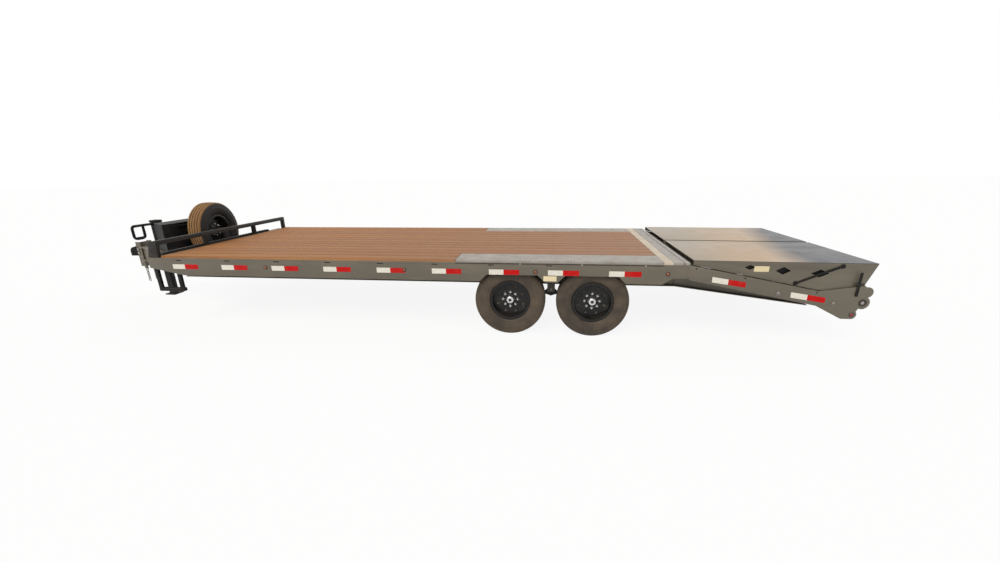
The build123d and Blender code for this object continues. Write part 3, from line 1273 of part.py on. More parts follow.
# Side step: a hanging frame below the left rail's front end
with BuildPart() as side_step:
    step_front = X_FRONT - STEP_INSET
    step_rear = step_front - STEP_LENGTH
    step_outer = HALF - STEP_SIDE_INSET
    step_y = (step_outer - STEP_DEPTH, step_outer)
    hanger_y = (step_outer - STEP_BAR, step_outer)
    for rear in (step_rear, step_front - STEP_BAR):
        foot_z = STEP_HEIGHT - STEP_BAR
        top = [(x, rail_low(x)) for x in (rear + STEP_BAR, rear)]
        side_slab([(rear, foot_z), (rear + STEP_BAR, foot_z)] + top, *hanger_y)
    block((step_rear, step_front), step_y, (STEP_HEIGHT - STEP_BAR, STEP_HEIGHT))
save(side_step, "side_step")

# Lamps: amber markers on the rails, red lamps on the light bar and hinge plates
with BuildPart() as marker_lamps:
    for share in MARKER_SHARES:
        for name, side in SIDES:
            x = X_REAR + share * MAIN_DECK_LENGTH
            cross_rod(x, DECK_HEIGHT - MARKER_DROP, side * HALF, side * (HALF + MARKER_STAND), MARKER_RADIUS)
save(marker_lamps, "marker_lamps")

with BuildPart() as tail_lamps:
    lamp_z = light_bar_z - LIGHT_BAR_HEIGHT / 2
    for name, side in SIDES:
        for from_edge in TAIL_LAMPS_FROM_EDGE:
            with BuildSketch(Plane.YZ.offset(light_bar_x)) as lens:
                with Locations((side * (HALF - from_edge), lamp_z)):
                    SlotOverall(TAIL_LAMP_LENGTH, TAIL_LAMP_HEIGHT)
            extrude(lens.sketch, amount=TAIL_LAMP_STAND, dir=(-1, 0, 0))
        x, z = X_PIVOT + FOOT_LOBE_REACH, PIVOT_HEIGHT + FOOT_LOBE_RISE
        cross_rod(x, z, side * HALF, side * (HALF + MARKER_STAND), MARKER_RADIUS)
save(tail_lamps, "tail_lamps")
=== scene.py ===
"""Dresses the deckover trailer: finishes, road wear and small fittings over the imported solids.

Metres, in the trailer's own frame: +X forward to the coupler, +Y to its left, +Z up. The sections of turned
pieces, and values whose names end in mm, are in millimetres.
"""

import functools
import logging
import math
from dataclasses import dataclass
from enum import Enum, IntEnum
from typing import Iterable, Iterator, Sequence

import bmesh
import bpy
from bmesh.types import BMEdge, BMFace, BMVert
from mathutils import Matrix, Vector


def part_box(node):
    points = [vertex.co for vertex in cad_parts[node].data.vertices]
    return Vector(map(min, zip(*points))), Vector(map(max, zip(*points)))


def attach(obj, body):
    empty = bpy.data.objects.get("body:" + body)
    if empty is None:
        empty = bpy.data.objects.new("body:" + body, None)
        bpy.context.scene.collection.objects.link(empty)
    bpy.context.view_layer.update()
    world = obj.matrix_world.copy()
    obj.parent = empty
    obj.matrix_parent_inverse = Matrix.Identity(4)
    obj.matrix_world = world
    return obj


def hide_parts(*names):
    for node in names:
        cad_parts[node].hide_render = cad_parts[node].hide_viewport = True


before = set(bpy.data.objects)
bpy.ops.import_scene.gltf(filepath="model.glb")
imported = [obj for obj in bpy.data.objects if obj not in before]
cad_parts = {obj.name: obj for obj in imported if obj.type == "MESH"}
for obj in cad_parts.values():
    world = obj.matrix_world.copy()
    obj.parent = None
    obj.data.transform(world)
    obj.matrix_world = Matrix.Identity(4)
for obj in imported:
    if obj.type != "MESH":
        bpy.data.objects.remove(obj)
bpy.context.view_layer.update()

Colour = tuple[float, float, float]
Point = tuple[float, float, float] | Vector
Flat = tuple[float, float]
Section = tuple[Flat, ...]
Places = tuple[Flat, ...]
Socket = bpy.types.NodeSocket

LOG = logging.getLogger("trailer")
MM = 0.001
UP = Vector((0.0, 0.0, 1.0))
WHITE = (1.0, 1.0, 1.0)
CORNERS = ("fl", "fr", "rl", "rr")
BOTH_WAYS = (-1, 1)

# Thickness of tape, blank plates and the painted shadow lines beside the tread plates, and the rounding of a
# plate's edges
FILM = 0.8 * MM
FILM_ROUND_MM = 0.3
# Black plates behind the holes of rails and ramps, painted shade for their shadowed insides: their wall, and
# how far they lie behind the face
SHADE_PLATE_WALL = 3 * MM
SHADE_PLATE_BEHIND = 28 * MM
# Corners closer than this are one: on a spun shape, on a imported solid, on a bent link
SPUN_MERGE = 0.01 * MM
SOLID_MERGE = 0.02 * MM
LINK_MERGE = 0.05 * MM
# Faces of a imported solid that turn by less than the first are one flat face, and edges that turn by more
# than the second are rounded
FLAT_TURN = math.radians(0.5)
SHARP_TURN = math.radians(40.0)
# Sockets of a Mix node set to colours: share, first and second, then its result
MIX_INPUTS = (0, 6, 7)
MIX_RESULT = 2


class Body(str, Enum):
    """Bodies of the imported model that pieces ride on."""

    CHASSIS = "chassis"
    LID = "toolbox_lid"
    RAMP_LEFT = "ramp_left"
    RAMP_RIGHT = "ramp_right"
    WHEEL_FL = "wheel_fl"
    WHEEL_FR = "wheel_fr"
    WHEEL_RL = "wheel_rl"
    WHEEL_RR = "wheel_rr"


class Side(Enum):
    """The trailer's two sides, with the sign of their Y."""

    LEFT = 1
    RIGHT = -1

    @property
    def word(self) -> str:
        """Gives the side's name as the solids spell it."""
        return self.name.lower()

    @property
    def ramp(self) -> Body:
        """Gives the body of this side's ramp."""
        return Body[f"RAMP_{self.name}"]


class Slot(str, Enum):
    """Material slots of the record, one named with each new piece."""

    FRAME = "frame_paint"
    BLACK = "black_paint"
    WOOD = "wood"
    TREAD = "tread_steel"
    CAP = "cap_steel"
    SKIN = "ramp_skin"
    RUBBER = "rubber"
    RIM = "rim_paint"
    HUB = "hub_steel"
    STEEL = "bare_steel"
    SPRING = "spring_steel"
    AMBER = "amber_lens"
    RED = "red_lens"


class Mark(str, Enum):
    """Values that faces carry for the finishes to read."""

    EDGE = "edge"
    BOARD = "board"
    LUG = "lug"
    TREAD = "tread"


class Facets(IntEnum):
    """Faces round a turned or many-sided piece, named for a piece of that size."""

    HEXAGON = 6
    SCREW = 8
    LINK = 10
    STEM = 12
    PIN = 16
    RING = 20
    LAMP = 24
    HANDLE = 28
    COLLAR = 32
    JACK = 36
    HUB = 48
    RIM = 64
    TYRE = 80


class Across(Enum):
    """Directions that a rod, ring or prism may lie along."""

    X = (1.0, 0.0, 0.0)
    Y = (0.0, 1.0, 0.0)
    Z = (0.0, 0.0, 1.0)

    @property
    def turn(self) -> Matrix:
        """Gives the turn that lays Z along this direction."""
        return UP.rotation_difference(Vector(self.value)).to_matrix().to_4x4()


def srgb(red: int, green: int, blue: int) -> Colour:
    """Turns a colour as seen on a screen into the shader's linear values.

    Args:
        red: Red from 0 to 255.
        green: Green from 0 to 255.
        blue: Blue from 0 to 255.

    Returns:
        The three linear values.
    """
    shares = (channel / 255.0 for channel in (red, green, blue))
    return tuple(s / 12.92 if s <= 0.04045 else ((s + 0.055) / 1.055) ** 2.4 for s in shares)


def feed(tree: bpy.types.NodeTree, socket: Socket, value: object) -> None:
    """Links a socket, or sets its value.

    Args:
        tree: The tree that holds the nodes.
        socket: The input to feed.
        value: A socket to link, or a plain value. A colour may leave out its alpha.
    """
    if isinstance(value, bpy.types.NodeSocket):
        tree.links.new(value, socket)
    elif socket.type == "RGBA" and len(value) == 3:
        socket.default_value = (*value, 1.0)
    else:
        socket.default_value = value


def add_node(
    tree: bpy.types.NodeTree, kind: str, inputs: dict[str | int, object], **settings: object
) -> bpy.types.Node:
    """Adds a node to a tree.

    Args:
        tree: The tree that takes the node.
        kind: The node's type name.
        inputs: Values or sockets for its inputs.
        settings: Properties of the node itself.

    Returns:
        The new node.
    """
    made = tree.nodes.new(kind)
    for key, value in settings.items():
        setattr(made, key, value)
    for key, value in inputs.items():
        feed(tree, made.inputs[key], value)
    return made


class NodeBench:
    """Builds one material's nodes with short calls."""

    def __init__(self, name: str) -> None:
        """Starts a material with its shader and its object coordinates.

        Args:
            name: The material's name.
        """
        self.material = bpy.data.materials.new(name)
        self.material.use_nodes = True
        self.tree = self.material.node_tree
        self.shader = self.tree.nodes["Principled BSDF"]
        self.coords = self.tree.nodes.new("ShaderNodeTexCoord")
        self.place: Socket = self.coords.outputs["Object"]

    def make(self, kind: str, inputs: dict[str | int, object], **settings: object) -> bpy.types.Node:
        """Adds a node to this material."""
        return add_node(self.tree, kind, inputs, **settings)

    def stretched(self, scale: Point, turn: Point = (0.0, 0.0, 0.0), place: Socket | None = None) -> Socket:
        """Gives coordinates, the object's or others, scaled and turned."""
        inputs = {"Vector": place or self.place, "Scale": scale, "Rotation": turn}
        return self.make("ShaderNodeMapping", inputs).outputs["Vector"]

    def noise(
        self, scale: float, detail: float, place: Socket | None = None, bend: float = 0.0
    ) -> Socket:
        """Gives a cloudy pattern.

        Args:
            scale: Clouds in a metre.
            detail: Levels of finer clouds.
            place: Coordinates, or None for the object's.
            bend: How much the pattern is bent by itself.

        Returns:
            The pattern's value, from 0 to 1.
        """
        inputs = {"Vector": place or self.place, "Scale": scale, "Detail": detail, "Distortion": bend}
        return self.make("ShaderNodeTexNoise", inputs).outputs["Fac"]

    def cells(self, scale: float, place: Socket | None = None) -> Socket:
        """Gives a pattern of cells, by the distance to their middles."""
        inputs = {"Vector": place or self.place, "Scale": scale}
        return self.make("ShaderNodeTexVoronoi", inputs).outputs["Distance"]

    def span(
        self, value: Socket, low: float, high: float, to_low: float = 0.0, to_high: float = 1.0
    ) -> Socket:
        """Maps a value's range on to another, and stays inside it."""
        inputs = {0: value, 1: low, 2: high, 3: to_low, 4: to_high}
        return self.make("ShaderNodeMapRange", inputs).outputs[0]

    def sum(self, operation: str, first: object, second: object) -> Socket:
        """Works out one sum of two values."""
        return self.make("ShaderNodeMath", {0: first, 1: second}, operation=operation).outputs[0]

    def times(self, first: object, second: object) -> Socket:
        """Multiplies two values."""
        return self.sum("MULTIPLY", first, second)

    def plus(self, first: object, second: object) -> Socket:
        """Adds two values."""
        return self.sum("ADD", first, second)

    def blend(self, share: object, first: object, second: object) -> Socket:
        """Mixes two colours."""
        inputs = dict(zip(MIX_INPUTS, (share, first, second)))
        return self.make("ShaderNodeMix", inputs, data_type="RGBA").outputs[MIX_RESULT]

    def attribute(self, mark: Mark) -> Socket:
        """Reads a value that a piece's mesh carries."""
        return self.make("ShaderNodeAttribute", {}, attribute_name=mark.value).outputs["Fac"]

    def upward(self, low: float = 0.35, high: float = 0.95) -> Socket:
        """Gives how much a face looks up, for dust that settles on it."""
        split = self.make("ShaderNodeSeparateXYZ", {0: self.coords.outputs["Normal"]})
        return self.span(split.outputs["Z"], low, high)

    def axis(self, letter: str) -> Socket:
        """Gives one of the object coordinates."""
        return self.make("ShaderNodeSeparateXYZ", {0: self.place}).outputs[letter]

    def bump(self, height: Socket, depth_mm: float, strength: float) -> None:
        """Raises the surface by a pattern."""
        inputs = {"Height": height, "Distance": depth_mm * MM, "Strength": strength}
        self.surface(Normal=self.make("ShaderNodeBump", inputs).outputs["Normal"])

    def surface(self, **values: object) -> None:
        """Feeds the shader's own sockets, spelled with underscores."""
        for key, value in values.items():
            feed(self.tree, self.shader.inputs[key.replace("_", " ")], value)


@dataclass(frozen=True)
class Finish:
    """A surface with a name; its kinds say how they are mixed."""

    name: str

    def mix(self) -> bpy.types.Material:
        """Builds the finish's material."""
        raise NotImplementedError


@functools.cache
def material_of(finish: Finish) -> bpy.types.Material:
    """Gives a finish's material, built once."""
    return finish.mix()


@dataclass(frozen=True)
class Paint(Finish):
    """Sprayed paint with road dust, rubbed edges and a fine orange peel."""

    base: Colour
    deep: Colour
    rough: float = 0.42
    metal: float = 0.0
    coat: float = 0.0
    dust: Colour = srgb(150, 128, 100)
    dusty: float = 0.25
    worn: Colour = srgb(150, 146, 140)
    wear: float = 0.35
    shine: float = 0.5
    cloud_scale: float = 1.7
    dust_scale: float = 5.5
    film_scale: float = 9.0
    film_stretch: Point = (0.35, 1.0, 1.6)
    film_most: float = 0.55
    chip_scale: float = 38.0
    sheen_scale: float = 14.0
    dust_rough: float = 0.3
    coat_rough: float = 0.12
    peel_scale: float = 420.0
    peel_mm: float = 0.12

    def mix(self) -> bpy.types.Material:
        """Builds the painted material.

        Returns:
            The material.
        """
        bench = NodeBench(self.name)
        clouds = bench.noise(self.cloud_scale, 6.0)
        tone = bench.blend(bench.span(clouds, 0.3, 0.7), self.base, self.deep)
        settled = bench.times(bench.upward(), bench.span(bench.noise(self.dust_scale, 8.0), 0.35, 0.7))
        streaks = bench.noise(self.film_scale, 9.0, bench.stretched(self.film_stretch))
        film = bench.span(streaks, 0.48, 0.8, 0.0, self.film_most)
        dirt = bench.times(bench.sum("MAXIMUM", settled, film), self.dusty)
        tone = bench.blend(dirt, tone, self.dust)
        chips = bench.span(bench.noise(self.chip_scale, 6.0), 0.42, 0.62)
        rubbed = bench.times(bench.attribute(Mark.EDGE), chips)
        tone = bench.blend(bench.times(rubbed, self.wear), tone, self.worn)
        sheen = bench.noise(self.sheen_scale, 6.0)
        rough = bench.span(sheen, 0.25, 0.75, self.rough - 0.07, self.rough + 0.1)
        bench.surface(Base_Color=tone, Roughness=bench.plus(rough, bench.times(dirt, self.dust_rough)))
        bench.surface(Metallic=self.metal, Specular_IOR_Level=self.shine)
        bench.surface(Coat_Weight=self.coat, Coat_Roughness=self.coat_rough)
        bench.bump(bench.noise(self.peel_scale, 2.0), self.peel_mm, 0.5)
        return bench.material


@dataclass(frozen=True)
class RampSheet(Finish):
    """Smooth ramp sheet: grey paint with painted reflection bands, pale at the front and tan behind it,
    darker bare grey at the rear as painted shadow, and long scratches.
    """

    # Grey of the sheet, darkened so that its bare rear also stands for shadow
    base: Colour
    # Colours of the painted reflection bands: pale at the front, tan behind it
    bleached: Colour
    dusted: Colour
    drift: Colour = srgb(176, 160, 138)
    scratched: Colour = srgb(112, 106, 98)
    dust_front: float = -3.25
    front_blur: float = 0.25
    dust_rear: float = -4.0
    rear_blur: float = 0.18
    skew: float = 0.2
    outer_edge: float = 1.27
    wander: float = 0.2
    wander_scale: float = 1.5
    drift_scale: float = 2.6
    drift_stretch: Point = (0.5, 1.4, 1.0)
    drift_most: float = 0.16
    scratch_scale: float = 34.0
    scratch_stretch: Point = (0.08, 3.2, 1.0)
    scratch_turn: Point = (0.0, 0.0, 0.12)
    scratch_share: float = 0.5
    scratch_rough: float = 0.25
    scratch_depth: float = -0.03
    patch_scale: float = 1.9
    sheen_scale: float = 6.0
    shine: float = 0.2
    wave_scale: float = 3.0
    wave_mm: float = 1.2

    def mix(self) -> bpy.types.Material:
        """Builds the sheet's material.

        Returns:
            The material.
        """
        bench = NodeBench(self.name)
        inboard = bench.sum("SUBTRACT", self.outer_edge, bench.axis("Y"))
        along = bench.plus(bench.axis("X"), bench.times(inboard, self.skew))
        wander = bench.noise(self.wander_scale, 6.0)
        along = bench.plus(along, bench.span(wander, 0.0, 1.0, -self.wander, self.wander))
        # Painted reflection and shadow bands: darker bare grey behind the tan band stands for shadow, and
        # the tan band and the pale front stand for reflections
        ahead_of_rear = bench.span(along, self.dust_rear - self.rear_blur, self.dust_rear + self.rear_blur)
        tone = bench.blend(ahead_of_rear, self.base, self.dusted)
        near_front = bench.span(along, self.dust_front - self.front_blur, self.dust_front + self.front_blur)
        tone = bench.blend(near_front, tone, self.bleached)
        drift = bench.noise(self.drift_scale, 8.0, bench.stretched(self.drift_stretch))
        tone = bench.blend(bench.span(drift, 0.45, 0.75, 0.0, self.drift_most), tone, self.drift)
        tone = bench.blend(bench.upward(0.0, 0.4), self.base, tone)
        long_way = bench.stretched(self.scratch_stretch, self.scratch_turn)
        lines = bench.noise(self.scratch_scale, 3.0, long_way, 0.6)
        patch = bench.span(bench.noise(self.patch_scale, 4.0), 0.52, 0.66)
        scratch = bench.times(bench.span(lines, 0.63, 0.7), patch)
        tone = bench.blend(bench.times(scratch, self.scratch_share), tone, self.scratched)
        rough = bench.span(bench.noise(self.sheen_scale, 8.0), 0.3, 0.7, 0.34, 0.48)
        rough = bench.plus(rough, bench.times(scratch, self.scratch_rough))
        bench.surface(Base_Color=tone, Roughness=rough, Specular_IOR_Level=self.shine)
        cuts = bench.times(scratch, self.scratch_depth)
        bench.bump(bench.plus(bench.noise(self.wave_scale, 2.0), cuts), self.wave_mm, 0.35)
        return bench.material


@dataclass(frozen=True)
class DeckWood(Finish):
    """Treated pine: long grain, growth rings, knots, and one tint for each board."""

    pale: Colour
    dark: Colour
    grey: Colour
    front_x: float
    rear_x: float
    knot: Colour = srgb(92, 58, 34)
    soiled: Colour = srgb(78, 52, 34)
    board_shift: float = 37.0
    band_stretch: Point = (0.55, 9.0, 9.0)
    band_scale: float = 2.4
    band_share: float = 0.55
    fine_stretch: Point = (1.6, 60.0, 60.0)
    fine_scale: float = 3.0
    fine_share: float = 0.3
    ring_scale: float = 1.7
    ring_bend: float = 5.5
    ring_share: float = 0.28
    knot_scale: float = 2.1
    knot_share: float = 0.55
    age_scale: float = 3.2
    age_most: float = 0.75
    tint_most: float = 0.5
    edge_share: float = 0.6
    grain_mm: float = 0.5

    def mix(self) -> bpy.types.Material:
        """Builds the boards' material.

        Returns:
            The material.
        """
        bench = NodeBench(self.name)
        board = bench.attribute(Mark.BOARD)
        shift = bench.make("ShaderNodeCombineXYZ", {0: bench.times(board, self.board_shift)}).outputs[0]
        moved = bench.make("ShaderNodeVectorMath", {0: bench.place, 1: shift}, operation="ADD").outputs[0]
        long_way = bench.stretched(self.band_stretch, place=moved)
        bands = bench.noise(self.band_scale, 5.0, long_way, 0.9)
        fine = bench.noise(self.fine_scale, 4.0, bench.stretched(self.fine_stretch, place=moved))
        wave = {
            "Vector": long_way, "Scale": self.ring_scale, "Distortion": self.ring_bend, "Detail": 3.0,
            "Detail Scale": 0.7,
        }
        rings = bench.make("ShaderNodeTexWave", wave, bands_direction="Y").outputs["Fac"]
        grain = bench.plus(bench.times(bands, self.band_share), bench.times(rings, self.ring_share))
        grain = bench.plus(grain, bench.times(fine, self.fine_share))
        tone = bench.blend(bench.span(grain, 0.32, 0.86), self.dark, self.pale)
        tone = bench.blend(bench.span(board, 0.0, 1.0, 0.0, self.tint_most), tone, self.dark)
        aged = bench.span(bench.axis("X"), self.front_x, self.rear_x, 0.0, self.age_most)
        aged = bench.times(aged, bench.span(bench.noise(self.age_scale, 7.0), 0.2, 0.7, 0.5, 1.0))
        tone = bench.blend(aged, tone, self.grey)
        knots = bench.span(bench.cells(self.knot_scale, long_way), 0.03, 0.09, 1.0, 0.0)
        tone = bench.blend(bench.times(knots, self.knot_share), tone, self.knot)
        # Darker board edges: partly soil, partly painted shade in the gaps between boards
        tone = bench.blend(bench.times(bench.attribute(Mark.EDGE), self.edge_share), tone, self.soiled)
        bench.surface(Base_Color=tone, Roughness=bench.span(grain, 0.3, 0.9, 0.6, 0.78))
        bench.bump(bench.plus(fine, rings), self.grain_mm, 0.5)
        return bench.material


@dataclass(frozen=True)
class Steel(Finish):
    """Bare, plated or cast metal with a fine grain and dirt, and brighter peaks where it has lugs."""

    base: Colour
    deep: Colour
    rough: float
    metal: float
    dirty: float
    peaks: float = 0.0
    dirt: Colour = srgb(120, 104, 84)
    bright: Colour = srgb(214, 206, 196)
    cloud_scale: float = 4.0
    dirt_scale: float = 11.0
    dirt_rough: float = 0.35
    dirt_on_peaks: float = 0.25
    grain_scale: float = 130.0
    grain_mm: float = 0.08

    def mix(self) -> bpy.types.Material:
        """Builds the metal's material.

        Returns:
            The material.
        """
        bench = NodeBench(self.name)
        grain = bench.noise(self.grain_scale, 3.0)
        clouds = bench.noise(self.cloud_scale, 6.0)
        tone = bench.blend(bench.span(clouds, 0.3, 0.7), self.base, self.deep)
        soil = bench.span(bench.noise(self.dirt_scale, 8.0), 0.45, 0.75, 0.0, self.dirty)
        if self.peaks:
            raised = bench.attribute(Mark.LUG)
            tone = bench.blend(bench.times(raised, self.peaks), tone, self.bright)
            soil = bench.times(soil, bench.span(raised, 0.0, 1.0, 1.0, self.dirt_on_peaks))
        tone = bench.blend(soil, tone, self.dirt)
        rough = bench.span(grain, 0.25, 0.75, self.rough - 0.06, self.rough + 0.08)
        rough = bench.plus(rough, bench.times(soil, self.dirt_rough))
        bench.surface(Base_Color=tone, Roughness=rough, Metallic=self.metal)
        bench.bump(grain, self.grain_mm, 0.5)
        return bench.material


@dataclass(frozen=True)
class Rubber(Finish):
    """Rubber with road dust, which lies thicker on a tyre's ribs and blocks than elsewhere."""

    base: Colour
    dust: Colour
    dusty: float
    on_side: float = 0.4
    even: float = 0.0
    shine: float = 0.35
    cloud_scale: float = 7.0
    grain_scale: float = 310.0
    grain_mm: float = 0.2

    def mix(self) -> bpy.types.Material:
        """Builds the rubber's material.

        Returns:
            The material.
        """
        bench = NodeBench(self.name)
        clouds = bench.span(bench.noise(self.cloud_scale, 8.0), 0.3, 0.75, self.even, 1.0)
        on_tread = bench.span(bench.attribute(Mark.TREAD), 0.0, 1.0, self.on_side, 1.0)
        film = bench.times(bench.times(clouds, on_tread), self.dusty)
        tone = bench.blend(film, self.base, self.dust)
        bench.surface(Base_Color=tone, Roughness=bench.span(film, 0.0, 0.8, 0.58, 0.85))
        bench.surface(Specular_IOR_Level=self.shine)
        bench.bump(bench.noise(self.grain_scale, 3.0), self.grain_mm, 0.4)
        return bench.material


@dataclass(frozen=True)
class Lens(Finish):
    """Moulded lamp lens with fine prisms, a little soiled."""

    base: Colour
    deep: Colour
    soil: Colour = srgb(140, 122, 100)
    soil_scale: float = 60.0
    soil_most: float = 0.25
    prism_scale: float = 260.0
    prism_mm: float = 0.35
    coat: float = 0.3
    coat_rough: float = 0.1
    milky: float = 0.1

    def mix(self) -> bpy.types.Material:
        """Builds the lens's material.

        Returns:
            The material.
        """
        bench = NodeBench(self.name)
        prisms = bench.cells(self.prism_scale)
        tone = bench.blend(bench.span(prisms, 0.1, 0.7), self.base, self.deep)
        soil = bench.span(bench.noise(self.soil_scale, 5.0), 0.55, 0.8, 0.0, self.soil_most)
        tone = bench.blend(soil, tone, self.soil)
        bench.surface(Base_Color=tone, Roughness=bench.span(prisms, 0.0, 0.8, 0.1, 0.24))
        bench.surface(Coat_Weight=self.coat, Coat_Roughness=self.coat_rough, Subsurface_Weight=self.milky)
        bench.bump(prisms, self.prism_mm, 0.45)
        return bench.material


@dataclass(frozen=True)
class Tape(Finish):
    """Reflective tape: small cells under a clear film, a little soiled."""

    base: Colour
    deep: Colour
    soil: Colour = srgb(128, 108, 84)
    soil_scale: float = 16.0
    soil_most: float = 0.15
    cell_scale: float = 210.0
    cell_mm: float = 0.1
    shine: float = 0.2

    def mix(self) -> bpy.types.Material:
        """Builds the tape's material.

        Returns:
            The material.
        """
        bench = NodeBench(self.name)
        cells = bench.cells(self.cell_scale)
        tone = bench.blend(bench.span(cells, 0.25, 0.75), self.base, self.deep)
        soil = bench.span(bench.noise(self.soil_scale, 8.0), 0.5, 0.8, 0.0, self.soil_most)
        tone = bench.blend(soil, tone, self.soil)
        bench.surface(Base_Color=tone, Roughness=bench.span(soil, 0.0, self.soil_most, 0.45, 0.65))
        bench.surface(Specular_IOR_Level=self.shine)
        bench.bump(cells, self.cell_mm, 0.3)
        return bench.material


FRAME_PAINT = Paint("frame_grey", srgb(103, 97, 84), srgb(91, 85, 74), metal=0.2, coat=0.1)
BLACK_PAINT = Paint(
    "satin_black", srgb(18, 18, 19), srgb(12, 12, 13), rough=0.55, dusty=0.12, wear=0.15, shine=0.2)
RAIL_PAINT = Paint(
    "charcoal", srgb(42, 41, 40), srgb(32, 31, 31), rough=0.55, dusty=0.15, wear=0.2, shine=0.25)
RIM_PAINT = Paint(
    "gloss_black", srgb(13, 12, 12), srgb(9, 8, 8), rough=0.34, coat=0.06, dusty=0.1, wear=0.1, shine=0.3)
CAP_PAINT = Paint("pale_primer", srgb(208, 194, 172), srgb(190, 176, 156), rough=0.5, metal=0.1, wear=0.15)
BLANK = Paint("blank_plate", srgb(224, 209, 170), srgb(208, 193, 156), rough=0.45, wear=0.1)
WOOD = DeckWood(
    "deck_pine", srgb(190, 129, 64), srgb(124, 77, 35), srgb(148, 112, 88), front_x=3.0, rear_x=-2.4)
TREAD_STEEL = Steel(
    "tread_steel", srgb(158, 153, 146), srgb(142, 137, 130), rough=0.46, metal=0.3, dirty=0.35, peaks=0.4)
ZINC = Steel("plated_steel", srgb(168, 166, 160), srgb(140, 138, 132), rough=0.36, metal=0.7, dirty=0.3)
CHROME = Steel("bright_chrome", srgb(214, 214, 214), srgb(196, 196, 198), rough=0.16, metal=0.95, dirty=0.12)
IRON = Steel("dusty_iron", srgb(46, 43, 40), srgb(32, 30, 29), rough=0.62, metal=0.2, dirty=0.55)
TYRE = Rubber("dusty_rubber", srgb(52, 46, 40), srgb(119, 102, 82), dusty=0.6, on_side=0.75)
SPARE = Rubber("spare_rubber", srgb(24, 23, 22), srgb(160, 119, 75), dusty=0.85, on_side=0.02, even=0.7)
GRIP = Rubber("moulded_grip", srgb(24, 24, 25), srgb(90, 80, 66), dusty=0.2)
AMBER = Lens("amber_lens", srgb(160, 82, 12), srgb(118, 52, 6))
RED = Lens("red_lens", srgb(160, 20, 20), srgb(108, 8, 11))
TAPE_WHITE = Tape("white_tape", srgb(228, 225, 214), srgb(206, 203, 193))
TAPE_RED = Tape("red_tape", srgb(204, 2, 4), srgb(160, 2, 3))
# Ramp sheet: grey that also stands for shadow at the rear, then the pale and tan painted reflections
RAMP_SKIN = RampSheet("ramp_sheet", srgb(78, 78, 80), srgb(168, 158, 143), srgb(182, 157, 130))

NODE_FINISHES: tuple[tuple[Finish, tuple[str, ...]], ...] = (
    (FRAME_PAINT, (
        "main_beams", "crossmembers", "front_header", "dovetail_beams", "dovetail_crossmembers",
        "rear_light_bar", "tongue_beams", "jack_plates", "tongue_head", "side_rail_left", "side_rail_right",
        "dovetail_side_left", "dovetail_side_right", "ramp_frame_left", "ramp_frame_right", "spring_hangers",
    )),
    (BLACK_PAINT, (
        "jack_tube", "jack_crank", "jack_leg", "toolbox", "toolbox_lid", "side_step", "coupler",
        "ramp_latches", "ramp_prop_left", "ramp_prop_right",
    )),
    (RAIL_PAINT, ("front_rail", "spare_bracket")),
    (WOOD, ("deck_boards",)),
    (TREAD_STEEL, ("tread_plates", "deck_end_strips")),
    (CAP_PAINT, ("deck_end_cap",)),
    (RAMP_SKIN, ("ramp_skin_left", "ramp_skin_right")),
    (TYRE, tuple(f"tyre_{corner}" for corner in CORNERS)),
    (SPARE, ("spare_tyre",)),
    (RIM_PAINT, (*(f"rim_{corner}" for corner in CORNERS), "spare_rim")),
    (ZINC, ("hinge_shaft", "coupler_lever", "safety_chains")),
    (IRON, (
        *(f"hub_{corner}" for corner in CORNERS), "axles", "leaf_springs", "equalisers", "spring_clamps",
    )),
    (AMBER, ("marker_lamps",)),
    (RED, ("tail_lamps",)),
)


def scaled(section: Iterable[Flat], outward: float = 1.0) -> list[Flat]:
    """Turns a section's millimetres into metres, facing along its axis or, with -1, against it."""
    return [(outward * along * MM, radius * MM) for along, radius in section]


def node_box(name: str) -> tuple[Vector, Vector]:
    """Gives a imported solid's lowest and highest corners."""
    low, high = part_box(name)
    return Vector(low), Vector(high)


def node_middle(name: str) -> Vector:
    """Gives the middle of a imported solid's box."""
    low, high = node_box(name)
    return (low + high) / 2


def round_axis(middle: Point, along: Across, count: int) -> list[Matrix]:
    """Gives evenly spaced turns about an axis.

    Args:
        middle: A point on the axis.
        along: The axis's direction.
        count: How many turns share a full circle.

    Returns:
        One matrix for each turn, the first of them no turn.
    """
    there = Matrix.Translation(middle)
    back = there.inverted()
    axis = Vector(along.value)
    return [there @ Matrix.Rotation(math.tau * step / count, 4, axis) @ back for step in range(count)]


def of_kind(items: Iterable[object], kind: type) -> list:
    """Gives the items of a mesh operator's result that are of one kind."""
    return [item for item in items if isinstance(item, kind)]


